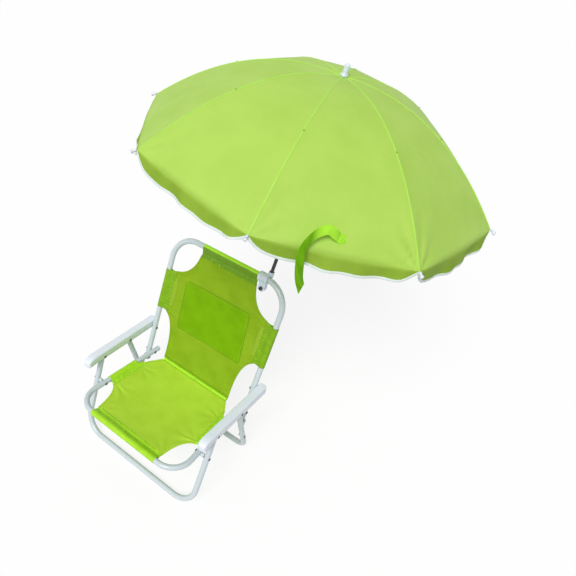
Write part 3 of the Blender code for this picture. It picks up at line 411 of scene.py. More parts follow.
def surface(rows, closed=False, capped=False, work=None, where=None):
    """Faces through rows of points, with their place in metres kept on them."""
    work = work or bmesh.new()
    layer = work.loops.layers.uv.get("cloth") or work.loops.layers.uv.new("cloth")
    knots = [[work.verts.new(p) for p in row] for row in rows]
    where, count = lengths(rows, closed) if where is None else where, len(rows[0])
    for i in range(len(rows) - 1):
        for j in range(count if closed else count - 1):
            corners = ((i, j), (i, j + 1), (i + 1, j + 1), (i + 1, j))
            face = work.faces.new([knots[a][b % count] for a, b in corners])
            for loop, (a, b) in zip(face.loops, corners):
                loop[layer].uv = where[a][b]
    if capped:
        work.faces.new(list(reversed(knots[0])))
        work.faces.new(knots[-1])
    return work


def mesh_of(name, work):
    mesh = bpy.data.meshes.new(name)
    work.to_mesh(mesh)
    work.free()
    return mesh


def finished(name, work, finish, body, replaces=None, at=Matrix(), turn_out=True, angle=40.0):
    """The piece itself on its body, made in that body's axes or at a place in them."""
    if turn_out:
        bmesh.ops.recalc_face_normals(work, faces=work.faces)
    mesh = mesh_of(name, work)
    mesh.transform(AXES[body.split("_")[0]] @ at)
    mesh.materials.append(finish)
    mesh.shade_smooth()
    mesh.set_sharp_from_angle(angle=rad(angle))
    made = add(name, mesh)
    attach(made, body)
    if replaces:
        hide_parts(replaces)
    return made


def thickness(made, depth, offset=-1.0):
    grown = made.modifiers.new("thickness", "SOLIDIFY")
    grown.thickness, grown.offset, grown.use_even_offset = depth, offset, True


def circle(radius, count):
    return [(radius * cos(2 * pi * i / count), radius * sin(2 * pi * i / count)) for i in range(count)]


def rounded(width, height, corner):
    """Outline of a rounded bar, width across and height up."""
    return [(sx * (width / 2 - corner) + corner * cos(rad(start + turn)),
             sy * (height / 2 - corner) + corner * sin(rad(start + turn)))
            for sx, sy, start in ((1, 1, 0), (-1, 1, 90), (-1, -1, 180), (1, -1, 270)) for turn in (0, 45, 90)]


def sweep(path, section, up, dome=0.0):
    """Rows of a section carried along a path; up is its second axis, one for all or one for each point."""
    rows = []
    last = len(path) - 1
    for i, point in enumerate(path):
        run = (path[min(i + 1, last)] - path[max(i - 1, 0)]).normalized()
        above = up[i] if isinstance(up, list) else up
        across = run.cross(above).normalized()
        above = across.cross(run)
        rows.append([point + across * a + above * b for a, b in section])
        if dome and i in (0, last):
            outward = run if i else -run
            domed = [[point + (across * p + above * q) * cos(rad(a)) + outward * dome * sin(rad(a))
                      for p, q in section] for a in (25, 50, 72, 86)]
            rows = rows + domed if i else list(reversed(domed)) + rows
    return rows


def rod(path, section, up, dome=0.0, work=None):
    """Solid bar of a section along a path."""
    return surface(sweep(path, section, up, dome), True, True, work)


def turned(profile, steps):
    """Rows of a shape turned about Z; the profile is (radius, height), with no point on the axis."""
    return [[Vector((x, y, z)) for x, y in circle(r, steps)] for r, z in profile]


def lathe(profile, steps=40):
    return surface(turned(profile, steps), True, True)


def ring(profile, steps=40):
    """Turned ring: its profile closes on itself."""
    columns = [list(column) for column in zip(*turned(profile, steps))]
    work = surface(columns + columns[:1], True)
    bmesh.ops.remove_doubles(work, verts=work.verts, dist=0.000005)
    return work


def smooth_path(points, steps=6):
    """Even curve through the points."""
    places = [points[0], *points, points[-1]]
    path = []
    for i in range(1, len(places) - 2):
        a, b, c, d = places[i - 1:i + 3]
        for t in (j / steps for j in range(steps)):
            path.append(0.5 * (2 * b + (c - a) * t + (2 * a - 5 * b + 4 * c - d) * t * t
                               + (3 * b - a - 3 * c + d) * t ** 3))
    return path + [places[-2]]


# Bent tube frames
BEND_STEPS = 16


def bent(half_a, half_b, tail, end, corner):
    """U-shaped path: two tubes from Y = tail to a cross bar at Y = end."""
    sign = 1.0 if end > tail else -1.0
    turn = pi / 2 + atan((half_b - half_a) / abs(end - tail))
    centre = Vector((half_b - corner * tan(turn / 2), end - sign * corner, 0.0))
    path = [Vector((half_a, tail, 0.0))]
    for i in range(BEND_STEPS + 1):
        a = turn * (1 - i / BEND_STEPS)
        path.append(centre + Vector((corner * sin(a), sign * corner * cos(a), 0.0)))
    return path + [Vector((-p.x, p.y, p.z)) for p in reversed(path)]


def dense(path, step=0.006):
    """The same path with its straights cut into short lengths."""
    points = [path[0]]
    for a, b in zip(path, path[1:]):
        count = max(1, int((b - a).length / step))
        points += [a.lerp(b, i / count) for i in range(1, count + 1)]
    return points


def seat_half(along):
    return SEAT_REAR_HALF + (SEAT_FRONT_HALF - SEAT_REAR_HALF) * along / SEAT_FRONT


for word, body, sizes in (
        ("seat", "seat", (seat_half(-SEAT_TAIL), SEAT_FRONT_HALF, -SEAT_TAIL, SEAT_FRONT, SEAT_CORNER)),
        ("back", "back", (BACK_HALF, BACK_HALF, -BACK_TAIL - TUBE_OVERRUN, BACK_LENGTH, BACK_CORNER)),
        ("front_leg", "front_legs", (LEG_HALF, LEG_HALF, ARM_LINK_LENGTH + TUBE_OVERRUN, -FRONT_LEG_DROP,
                                     FRONT_LEG_CORNER)),
        ("rear_leg", "rear_legs", (LEG_HALF, LEG_HALF, -TUBE_OVERRUN, REAR_LEG_LENGTH, REAR_LEG_CORNER))):
    finished(word + "_tube", rod(dense(bent(*sizes)), circle(TUBE_R, 28), UP, TUBE_R * 0.18), PAINT, body,
             word + "_frame")


# Armrests
ARM_CORNER, ARM_REAR_CORNER, ARM_EDGE, ARM_CLOSE = 0.0068, 0.0046, 0.0005, 0.0004


def arm_section(along):
    """Outline of the armrest across its run; heights are counted downward from its pivots."""
    nose = max(0.0, (along - ARM_FRONT + ARM_NOSE) / ARM_NOSE)
    ahead = max(0.0, (along - ARM_FRONT) / ARM_CORNER + 1)
    behind = max(0.0, 1 - (along + ARM_REAR) / ARM_REAR_CORNER)
    top = -ARM_RISE - 0.0004 + ARM_DROOP * nose ** 2 + 0.0045 * nose ** 4 + 0.0012 * (ahead ** 3 + behind ** 3)
    half = ARM_SHELL / 2 - ARM_CORNER * (1 - sqrt(max(0.0, 1 - ahead ** 2))) \
        - ARM_REAR_CORNER * (1 - sqrt(max(0.0, 1 - behind ** 2)))
    low = ARM_SKIRT + ARM_DROOP * 0.5 * nose ** 2
    corner = min(0.0036, half * 0.8)
    points = [(-half, low), (-half, (low + top + corner) / 2)]
    points += [(-half + corner * (1 - cos(rad(a))), top + corner * (1 - sin(rad(a)))) for a in range(0, 91, 18)]
    points += [(0.0, top - 0.0003)]
    return points + [(-x, z) for x, z in reversed(points[:-1])]


ARM_STATIONS = [*(-ARM_REAR + ARM_REAR_CORNER * (1 - cos(rad(a))) for a in range(0, 91, 15)),
                *np.linspace(-ARM_REAR + ARM_REAR_CORNER + 0.004, ARM_FRONT - ARM_NOSE, 26),
                *np.linspace(ARM_FRONT - ARM_NOSE + 0.002, ARM_FRONT - ARM_CORNER - 0.001, 10),
                *(ARM_FRONT - ARM_CORNER * (1 - sin(rad(a))) for a in range(0, 91, 10))]
for word, sign in SIDES:
    arm = "armrest_" + word
    rows = [[Vector((sign * LEG_HALF + x, along, z)) for x, z in arm_section(along)] for along in ARM_STATIONS]
    first, last = ([Vector((sign * LEG_HALF, p.y + nudge, p.z)) for p in rows[end]]
                   for end, nudge in ((0, -ARM_CLOSE), (-1, ARM_CLOSE)))
    work = surface([first, *rows, last])
    bmesh.ops.remove_doubles(work, verts=work.verts, dist=0.00001)
    rest = finished(arm + "_shell", work, ARM_PAINT, arm, arm, angle=60.0)
    thickness(rest, ARM_WALL)
    edge = rest.modifiers.new("edge", "BEVEL")
    edge.width, edge.segments, edge.limit_method, edge.angle_limit = ARM_EDGE, 2, "ANGLE", rad(50)


# Rivets
def rivet(name, body, along, x_in, x_out, sign, heads=(True, True), bush=None):
    """Pin across the chair with a domed head outside and a rolled head inside."""
    low, high = x_in - PIN_GAP, x_out + PIN_GAP
    top = high + HEAD_T
    if heads[1]:
        profile = [(0.0006, top + 0.0003), (HEAD_R * 0.45, top + 0.0002), (HEAD_R * 0.78, top - HEAD_T * 0.25),
                   (HEAD_R * 0.96, top - HEAD_T * 0.60), (HEAD_R, high + 0.0001), (HEAD_R * 0.97, high),
                   (PIN_R, high)]
    else:
        profile = [(PIN_R * 0.8, x_out), (PIN_R, x_out - 0.0001)]
    if heads[0]:
        profile += [(PIN_R, low), (HEAD_R * 0.9, low), (HEAD_R, low - HEAD_T * 0.4),
                    (HEAD_R * 0.85, low - HEAD_T), (HEAD_R * 0.55, low - HEAD_T * 0.95),
                    (HEAD_R * 0.40, low - HEAD_T * 0.3), (0.0006, low - HEAD_T * 0.25)]
    else:
        profile += [(PIN_R, x_in + 0.0001), (PIN_R * 0.8, x_in)]
    place = shift((0.0, along, 0.0)) @ spin(90 * sign, "Y")
    finished(name + "_head", lathe(profile, 24), RIVET_STEEL, body, name, place)
    if bush:
        (low, high), bore, edge = bush, PIN_R + 0.0002, BUSH_R - BUSH_EDGE
        profile = [(bore, low), (edge, low), (BUSH_R, low + BUSH_EDGE), (BUSH_R, high - BUSH_EDGE),
                   (edge, high), (bore, high)]
        finished(name + "_bush", lathe(profile, 32), PAINT, body, None, place)


ARM_INNER, ARM_OUTER = LEG_HALF - ARM_WIDTH / 2, LEG_HALF + ARM_WIDTH / 2
BACK_INNER, LEG_OUTER, LEG_SEAT = BACK_HALF - TUBE_R, LEG_HALF + TUBE_R, seat_half(PIVOT_SPACING)
for word, sign in SIDES:
    arm = "armrest_" + word
    for kind, body, along, x_in, x_out, more in (
            ("seat_back", "seat", 0.0, seat_half(0.0) - TUBE_R, BACK_HALF + TUBE_R, {}),
            ("seat_leg", "seat", PIVOT_SPACING, LEG_SEAT - TUBE_R, LEG_OUTER,
             {"bush": (LEG_SEAT + TUBE_R + BUSH_GAP, LEG_HALF - TUBE_R - BUSH_GAP)}),
            ("armrest_leg", arm, PIVOT_SPACING, ARM_INNER, ARM_OUTER, {}),
            ("armrest_rear", arm, REAR_LEG_SPACING, ARM_INNER, ARM_OUTER, {}),
            ("armrest_back", arm, 0.0, BACK_INNER, ARM_INNER + ARM_WALL, {}),
            ("brace_back", "back", -BACK_TAIL, BACK_INNER, BRACE_OUT, {"heads": (True, False)}),
            ("brace_leg", "rear_legs", BRACE_ON_LEG, BRACE_OUT + FIT_GAP, LEG_OUTER, {"heads": (False, True)})):
        rivet(f"{kind}_rivet_{word}", body, along, x_in, x_out, sign, **more)


# Slings
CLOTH_T = 0.0008
SLEEVE_R = TUBE_R + 0.0005
SIDE_HEM, TOP_HEM, FRONT_HEM, SEAT_HEM = 0.0265, 0.0270, 0.0225, 0.0235    # stitch lines, from the tube's axis
UNDER = 0.0040                 # the panel runs this far under its hem
FADE = 0.010                   # and lies flat this close to its edges


def hollow_edge(a, b, pull, count):
    return [tuple((1 - t) ** 2 * a[n] + 2 * t * (1 - t) * pull[n] + t ** 2 * b[n] for n in (0, 1))
            for t in (i / count for i in range(count + 1))]


class Edge:
    """Free edge of a sling on one side: half width and distance from the crease."""

    def __init__(self, waist, notch):
        low, high = waist[-1], notch[0]
        self.waist = [p for p in waist[:-1] if p[1] < low[1] - 0.0002] + [low]
        self.notch = notch
        straight = [tuple(a + (b - a) * i / 16 for a, b in zip(low, high)) for i in range(1, 16)]
        self.line = self.waist + straight + self.notch

    def half(self, y):
        return float(np.interp(y, [p[1] for p in self.line], [p[0] for p in self.line]))

    def low(self, x):
        return float(np.interp(x, *zip(*self.waist)))

    def high(self, x):
        return float(np.interp(-x, [-p[0] for p in self.notch], [p[1] for p in self.notch]))


def back_edge(top_x):
    low, high, top = BACK_SLEEVE_LOW, BACK_SLEEVE_HIGH, BACK_LENGTH
    waist = hollow_edge((SEAM_HALF, GUTTER), (BACK_HALF, low),
                        (SEAM_HALF - (BACK_HALF - SEAM_HALF) * 0.10, low * 1.06), 30)
    notch = hollow_edge((BACK_HALF, high), (top_x, top),
                        (top_x + (BACK_HALF - top_x) * 0.03, high + (top - high) * 0.009), 30)
    return Edge(waist, notch)


def seat_edge(rail_x):
    rear, front = SEAT_SPAN
    start, end, rail = (seat_half(rear), rear), (seat_half(front), front), (rail_x, SEAT_FRONT)
    waist = hollow_edge((SEAM_HALF, GUTTER), start,
                        (SEAM_HALF + (start[0] - SEAM_HALF) * 0.49, rear * 0.68), 18)
    notch = hollow_edge(end, rail, (rail_x + (end[0] - rail_x) * 0.03, front + (rail[1] - front) * 0.012), 30)
    return Edge(waist, notch)


BACK_EDGES = back_edge(TOP_SLEEVE_LEFT), back_edge(TOP_SLEEVE_RIGHT)
SEAT_EDGES = seat_edge(FRONT_SLEEVE_LEFT), seat_edge(FRONT_SLEEVE_RIGHT)


def sag(u, v, depth):
    """How far a stretched panel gives, u from -1 to 1 across and v from 0 to 1 along."""
    return depth * max(0.0, 1 - u * u) ** 0.85 * arch(min(1.0, max(0.0, v))) ** 0.75


def creases(x, y, corners, height):
    """Tension folds that run out from the ends of the sleeves."""
    total = 0.0
    for i, (cx, cy, reach) in enumerate(corners):
        dx, dy = x - cx, y - cy
        away = hypot(dx, dy)
        total += height * bell(away / reach) * min(1.0, away / 0.012) \
            * sin(9.0 * atan2(dy, abs(dx) + 0.0001) + i * 1.7)
    return total


SEAT_SLEEVE_HALF = 0.152
BACK_TOP, SEAT_END = BACK_LENGTH - TOP_HEM, SEAT_FRONT - FRONT_HEM
BACK_CORNERS = [(s * (BACK_HALF - SIDE_HEM), y, 0.040) for s in (1, -1) for y in BACK_SPAN]
BACK_CORNERS += [(TOP_SLEEVE_LEFT, BACK_TOP, 0.035), (-TOP_SLEEVE_RIGHT, BACK_TOP, 0.035)]
SEAT_CORNERS = [(s * (SEAT_SLEEVE_HALF - SEAT_HEM), y, 0.040) for s in (1, -1) for y in SEAT_SPAN]
SEAT_CORNERS += [(FRONT_SLEEVE_LEFT, SEAT_END, 0.038), (-FRONT_SLEEVE_RIGHT, SEAT_END, 0.038)]


def back_depth(x, y):
    """Level of the back's cloth off the tubes' plane; minus is away from the sitter."""
    return -sag(x / 0.128, (y - GUTTER) / (BACK_TOP - GUTTER), 0.0060) \
        + creases(x, y, BACK_CORNERS, 0.0012) + 0.0007 * wander(x * 26, y * 18, 3.1)


def seat_depth(x, y):
    """Level of the seat's cloth; plus is down."""
    return sag(x / 0.125, (y - GUTTER) / (SEAT_END - GUTTER), 0.0085) \
        + creases(x, y, SEAT_CORNERS, 0.0013) + 0.0009 * wander(x * 24, y * 20, 7.7)


def flat_area(rows):
    spots = np.array([[tuple(p) for p in row] for row in rows])
    a, b = spots[1:, :-1] - spots[:-1, :-1], spots[:-1, 1:] - spots[:-1, :-1]
    c, d = spots[1:, :-1] - spots[1:, 1:], spots[:-1, 1:] - spots[1:, 1:]
    return float((np.linalg.norm(np.cross(a, b), axis=2) + np.linalg.norm(np.cross(c, d), axis=2)).sum() / 2)


def panel(body, edges, reach, last_y, depth, finish):
    """Stretched cloth between its two edges; reach is how far out it runs under the side hems."""
    left, right = edges
    levels = sorted({round(p[1], 5) for p in left.line if p[1] < last_y - 0.001} | {last_y})
    rows, columns = [], 48
    for y in levels:
        xl, xr = min(left.half(y), reach(y)), min(right.half(y), reach(y))
        rows.append([])
        for x in (-xr + (xl + xr) * i / columns for i in range(columns + 1)):
            fade = min(1.0, (xl - x) / FADE, (x + xr) / FADE, (y - GUTTER) / FADE + 0.1, (last_y - y) / FADE)
            rows[-1].append(Vector((x, y, depth(x, y) * max(0.0, fade))))
    made = finished(body + "_sling_cloth", surface(rows), finish, body, body + "_sling", turn_out=False)
    thickness(made, CLOTH_T, 0.0)
    bound = bmesh.new()
    for column, edge in ((-1, left), (0, right)):
        free = [row[column] for row, y in zip(rows, levels) if edge.half(y) < reach(y) + 0.0001]
        for path in ([p for p in free if p.y < 0.5 * last_y], [p for p in free if p.y >= 0.5 * last_y]):
            if len(path) > 2:
                rod(path, rounded(0.0034, 0.0018, 0.0008), UP, work=bound)
    return made, finished(body + "_sling_edge_hem", bound, finish, body), flat_area(rows)


back_panel, back_edge_hem, back_area = panel("back", BACK_EDGES, lambda y: BACK_HALF - SIDE_HEM + UNDER,
                                             BACK_TOP + UNDER, back_depth, BACK_SHADED_CLOTH)
seat_panel, seat_edge_hem, seat_area = panel("seat", SEAT_EDGES, lambda y: seat_half(y) - SEAT_HEM + UNDER,
                                             SEAT_END + UNDER, seat_depth, SLING_CLOTH)


def hem_rise(hem, reach, along, seed):
    """Height of a hem over the tubes' plane: from the tube down to its stitch line, drawn up by the thread."""
    share = (hem - reach) / (hem - SLEEVE_R)
    straight = (hem - reach) * tan(asin(SLEEVE_R / hem))
    pucker = 0.0011 * wander(along * 130, reach * 40, seed)
    pucker += 0.0007 * sin(2 * pi * along / 0.0078 + 2.5 * wander(along * 50, reach * 30, seed))
    dip = 0.72 * arch(share) ** 0.8
    return straight * (1 - dip) + 1.3 * pucker * arch(min(1.0, share * 1.1 + 0.12)) ** 0.6


class Sleeve:
    """Cloth wrapped round a tube and sewn to itself; its ends follow the sling's free edges."""

    def __init__(self, name, start, end, inward, hem, starts, ends, seed, finish):
        self.start, self.hem, self.starts, self.ends, self.seed = Vector((*start, 0.0)), hem, starts, ends, seed
        line, inward = Vector((*end, 0.0)) - self.start, Vector((*inward, 0.0))
        self.run, self.length = line.normalized(), line.length
        self.inward = (inward - self.run * inward.dot(self.run)).normalized()
        reaches = [hem * share for share in (1.0, 0.93, 0.84, 0.75, 0.66, 0.58, 0.50, 0.43, 0.37)]
        opening = degrees(acos(SLEEVE_R / hem))
        count = max(12, int(self.length / 0.0018))
        rows = []
        for share in (i / count for i in range(count + 1)):
            row = [self.point(reach, share, 1.0) for reach in reaches]
            for turn in np.linspace(opening, 360 - opening, 22):
                swell = 1.0 + 0.02 * max(0.0, wander(self.length * share * 70, turn * 0.03, seed))
                row.append(self.start + self.run * self.length * share
                           + (self.inward * cos(rad(turn)) + UP * sin(rad(turn))) * SLEEVE_R * swell)
            rows.append(row + [self.point(reach, share, -1.0) for reach in reversed(reaches)])
        self.piece = finished(name, surface(rows), finish, name.split("_")[0], turn_out=False, angle=75.0)
        thickness(self.piece, 0.0004, 1.0)

    def point(self, reach, share, way, lift=0.0):
        first, last = self.starts(reach), self.length - self.ends(reach)
        along = first + (last - first) * share
        rise = hem_rise(self.hem, reach, along, self.seed) + 0.0006 + lift
        return self.start + self.run * along + self.inward * reach + UP * (way * rise)

    def seams(self, shares, way):
        """Lines of stitches along the sleeve, at shares of its hem."""
        return [(lambda share, at=at: self.point(self.hem * at, share, way, 0.0002), self.length)
                for at in shares]


def taken(value):
    """How much shorter a sleeve is than its tube's side at a reach from the tube, never longer."""
    return lambda reach: min(0.0, value(reach)) if reach > SLEEVE_R * 1.2 else 0.0


def rail_sleeve(name, edges, rail, hem, seed, finish):
    left, right = edges
    return Sleeve(name, (-right.half(rail), rail), (left.half(rail), rail), (0, -1), hem,
                  *(taken(lambda reach, edge=edge: edge.half(rail) - edge.half(rail - reach))
                    for edge in (right, left)), seed, finish)


def side_sleeve(name, edge, sign, tube, span, hem, seed, finish):
    low, high = span
    return Sleeve(name, (sign * tube(low), low), (sign * tube(high), high), (-sign, 0), hem,
                  taken(lambda reach: edge.low(tube(low) - reach) - low),
                  taken(lambda reach: high - edge.high(tube(high) - reach)), seed, finish)


back_sleeves = [rail_sleeve("back_top_sleeve", BACK_EDGES, BACK_LENGTH, TOP_HEM, 3.0, TOP_HEM_PAINTED_LIGHT_CLOTH)]
seat_sleeves = [rail_sleeve("seat_front_sleeve", SEAT_EDGES, SEAT_FRONT, FRONT_HEM, 8.0, SEAT_HEM_CLOTH)]
back_sleeves += [side_sleeve(f"back_{word}_sleeve", edge, sign, lambda y: BACK_HALF, BACK_SPAN, SIDE_HEM, seed,
                             BACK_HEM_SHADED_CLOTH)
                 for (word, sign), edge, seed in zip(SIDES, BACK_EDGES, (12.0, 17.0))]
seat_sleeves += [side_sleeve(f"seat_{word}_sleeve", edge, sign, seat_half, SEAT_SPAN, SEAT_HEM, seed,
                             SEAT_HEM_CLOTH)
                 for (word, sign), edge, seed in zip(SIDES, SEAT_EDGES, (23.0, 29.0))]


def stitches(name, lines, body, pitch=0.0034, radius=0.00032):
    """Thread along lines; a line is a function of its share from 0 to 1, and its length."""
    work = bmesh.new()
    for line, length in lines:
        count = max(1, int(length / pitch))
        for i in range(count):
            path = [line((i + share) / count) - UP * sunk
                    for share, sunk in ((0.12, 0.0002), (0.30, 0.0), (0.70, 0.0), (0.88, 0.0002))]
            rod(path, circle(radius, 6), UP, work=work)
    return finished(name, work, THREAD, body)


def all_seams(sleeves, shares, way):
    return sum((sleeve.seams(shares, way) for sleeve in sleeves), [])


back_thread = stitches("back_hem_stitches", all_seams(back_sleeves, (0.95, 0.62), 1.0), "back")
seat_thread = stitches("seat_hem_stitches", all_seams(seat_sleeves, (0.95, 0.64), -1.0), "seat")

# Facings: the hems' inner layers show as paler bars beside the side sleeves
FACING_LOW, FACING_LONG, FACING_OUT, FACING_W = 0.014, BACK_SLEEVE_HIGH - BACK_SLEEVE_LOW - 0.026, 0.002, 0.0135
facings = []
for word, sign in SIDES:
    rows = []
    for y in (BACK_SLEEVE_LOW + FACING_LOW + FACING_LONG * i / 30 for i in range(31)):
        rows.append([])
        for j in range(7):
            x = sign * (BACK_HALF - SIDE_HEM + FACING_OUT - FACING_W * j / 6)
            rows[-1].append(Vector((x, y, back_depth(x, y) * min(1.0, 0.25 + j / 6) + 0.0009)))
    facings.append(finished(f"back_{word}_facing", surface(rows), FACING_CLOTH, "back", turn_out=False))
    thickness(facings[-1], 0.0006)

# Rolled seam across the crease, drawn up by its stitches
roll = []
for x in (-SEAM_HALF + 2 * SEAM_HALF * i / 96 for i in range(97)):
    swell = 1.12 + 0.05 * cos(x * 2 * pi / 0.0085) + 0.04 * wander(x * 60, 0.0, 2.0)
    swell *= min(1.0, (SEAM_HALF - abs(x)) / 0.004 + 0.35)
    roll.append([Vector((x, SEAM_R * swell * p, SEAM_R * swell * q)) for p, q in circle(1.0, 20)])
crease_roll = finished("crease_roll", surface(roll, True, True), SEAT_HEM_CLOTH, "seat", "crease_seam")

# Pocket on the sitter's side of the back, sewn on a little askew
POCKET_LOW, POCKET_HIGH = ((-0.0960, 0.1045), (0.1035, 0.1065)), ((-0.1030, 0.2355), (0.0900, 0.2380))
POCKET_W, POCKET_H, POCKET_HALF, POCKET_CORNER, POCKET_SEWN = 0.20, 0.13, 0.0985, 0.006, 0.0003


def pocket_point(u, v, lift=0.0):
    """Point of the pocket, u and v from 0 to 1."""
    low, high = ([a + (b - a) * u for a, b in zip(*ends)] for ends in (POCKET_LOW, POCKET_HIGH))
    x, y = (a + (b - a) * v for a, b in zip(low, high))
    slack = 0.0020 * arch(u) * v ** 3 + 0.0005 * wander(u * 5, v * 6, 9.0)
    rims = min(u, 1 - u) * POCKET_W, v * POCKET_H, (1 - v) * POCKET_H
    fold = 0.0005 * sum(bell(rim / 0.0035) for rim in rims)
    return Vector((x, y, back_depth(x, y) + 0.0012 + slack + fold + lift))


def round_off(share, near):
    """Rounds the pocket's corners: near is the distance to the upper or lower edge."""
    cut = POCKET_CORNER - sqrt(max(0.0, POCKET_CORNER ** 2 - max(0.0, POCKET_CORNER - near) ** 2))
    return 0.5 + (share - 0.5) * (1 - cut / POCKET_HALF)


pocket_rows = [[pocket_point(round_off(j / 44, min(i, 34 - i) / 34 * POCKET_H), i / 34) for j in range(45)]
               for i in range(35)]
pocket = finished("back_pocket_cloth", surface(pocket_rows), POCKET_CLOTH, "back", "back_pocket",
                  turn_out=False)
thickness(pocket, 0.0007)
pocket_thread = stitches("pocket_stitches", [
    *((lambda share, u=u: pocket_point(u, share * 0.97 + 0.02, POCKET_SEWN), 0.128) for u in (0.02, 0.98)),
    *((lambda share, v=v: pocket_point(share * 0.96 + 0.02, v, POCKET_SEWN), length)
      for v, length in ((0.025, 0.190), (0.965, 0.180)))], "back")


# Parasol: fixed pieces about the pole
def drop(t):
    return CANOPY_DROP * (CANOPY_FLAT_SHARE * t + (1 - CANOPY_FLAT_SHARE) * t * t)


def fall(t):
    return CANOPY_DROP * (CANOPY_FLAT_SHARE + 2 * (1 - CANOPY_FLAT_SHARE) * t) / CANOPY_R


def gore_reach(s):
    """Cloth radius at a share s across one gore, against the rib's."""
    wide = rad(180.0 / RIBS)
    chord = cos(wide) / cos((2 * s - 1) * wide)
    return chord + (1 - chord) * GORE_FULL_SHARE


def scaled(radius, height, points):
    """Profile given as shares of a radius and a height."""
    return [(radius * a, height * b) for a, b in points]


FLANGE_R = FINIAL_R * 1.3
BORE = POLE_R + 0.0002
finial = [(0.0008, FINIAL_H)] + scaled(FINIAL_R, FINIAL_H, (
    (0.50, 0.985), (0.80, 0.94), (0.93, 0.86), (0.96, 0.70), (0.98, 0.34), (1.02, 0.26)))
finial += scaled(FLANGE_R, FINIAL_H, ((0.90, 0.19), (1.0, 0.14), (1.0, 0.02), (0.96, 0.0)))
crown = [(BORE, CROWN_T)] + scaled(CROWN_R, CROWN_T, (
    (0.86, 1.0), (1.0, 0.88), (1.0, 0.62), (0.84, 0.56), (0.84, 0.42), (1.0, 0.36), (1.0, 0.10), (0.92, 0.0)))
runner = [(BORE, RUNNER_T)] + scaled(RUNNER_R, RUNNER_T, (
    (0.90, 1.0), (1.0, 0.95), (1.0, 0.84), (0.86, 0.80), (0.86, 0.74), (1.0, 0.70), (0.92, 0.55), (0.80, 0.35),
    (0.82, 0.14), (0.96, 0.06), (0.92, 0.0)))
for name, work, body, node, rise in (
        ("finial_cap", lathe(finial), "parasol", "finial", APEX_RISE - drop(FLANGE_R / CANOPY_R) + FIT_GAP),
        ("crown_ring", ring(crown + [(BORE, 0.0)]), "parasol", "crown",
         APEX_RISE - CANOPY_T - RIB_GAP - CROWN_T),
        ("runner_ring", ring(runner + [(BORE, 0.0)]), "runner", "runner", RUNNER_LOW)):
    finished(name, work, CLEAR, body, node, shift((0.0, 0.0, rise)))


# Clamp: moulded in one piece, so its corners are soft
def primitive(kind, place, size):
    """A bar of three sizes, or a round bar of a radius and a length, standing up or lying across."""
    work = bmesh.new()
    if kind == "bar":
        bmesh.ops.create_cube(work, size=1.0)
        bmesh.ops.scale(work, vec=size, verts=work.verts)
    else:
        radius, length = size
        bmesh.ops.create_cone(work, cap_ends=True, segments=48, radius1=radius, radius2=radius, depth=length)
        if kind == "across":
            bmesh.ops.rotate(work, matrix=Matrix.Rotation(rad(90), 3, "Y"), verts=work.verts)
    mesh = mesh_of("shape", work)
    mesh.transform(place)
    return add("shape", mesh)


def applied(holder):
    return bpy.data.meshes.new_from_object(holder.evaluated_get(bpy.context.evaluated_depsgraph_get()))


LUG_START, THROUGH = 0.004, 0.04                   # the lug starts in the collar; tools that cut right through
RECESS_GAP, RECESS = 0.0012, 0.0016                # round the knob, and how deep it sits
POLE_HOLE_LOW, POLE_HOLE_L = -0.0002, 0.026
SLOT_AT, SLOT_W, SLOT_L = 0.024, 0.036, 0.040
SCREW_AXES = LUG_AXES @ shift((0.0, SCREW_AT, 0.0))
collar = primitive("across", RAIL_AXES, (CLAMP_BORE + CLAMP_WALL, 2 * CLAMP_HALF))
for operation, kind, place, size in (
        ("UNION", "up", PARASOL @ shift((0, 0, (SOCKET_TOP - SOCKET_DIP) / 2)),
         (SOCKET_OUT, SOCKET_TOP + SOCKET_DIP)),
        ("UNION", "bar", LUG_AXES @ shift((0, (LUG_START + SCREW_AT) / 2, 0)),
         (LUG_W * 0.995, SCREW_AT - LUG_START, LUG_T * 0.99)),
        ("UNION", "up", SCREW_AXES, (LUG_W / 2, LUG_T)),
        ("DIFFERENCE", "up", SCREW_AXES @ shift((0, 0, -LUG_T / 2)), (KNOB_R + RECESS_GAP, RECESS)),
        ("DIFFERENCE", "across", RAIL_AXES, (CLAMP_BORE - FIT_GAP, THROUGH)),
        ("DIFFERENCE", "up", PARASOL @ shift((0, 0, POLE_HOLE_LOW + POLE_HOLE_L / 2)),
         (POLE_R + FIT_GAP, POLE_HOLE_L)),
        ("DIFFERENCE", "bar", LUG_AXES @ shift((0, SLOT_AT, 0)), (SLOT_W, SLOT_L, LUG_SLOT)),
        ("DIFFERENCE", "up", SCREW_AXES, (SCREW_R + FIT_GAP, THROUGH))):
    tool = primitive(kind, place, size)
    change = collar.modifiers.new("shape", "BOOLEAN")
    change.operation, change.object, change.solver = operation, tool, "MANIFOLD"
    collar.data = applied(collar)
    collar.modifiers.clear()
    bpy.data.objects.remove(tool, do_unlink=True)
moulded = collar.modifiers.new("moulded", "REMESH")
moulded.mode, moulded.voxel_size, moulded.use_smooth_shade = "VOXEL", 0.00045, True
softened = collar.modifiers.new("soft", "SMOOTH")
softened.factor, softened.iterations = 0.5, 6
work = bmesh.new()
work.from_mesh(applied(collar))
bpy.data.objects.remove(collar, do_unlink=True)
finished("clamp_body", work, CLEAR, "clamp", "clamp")

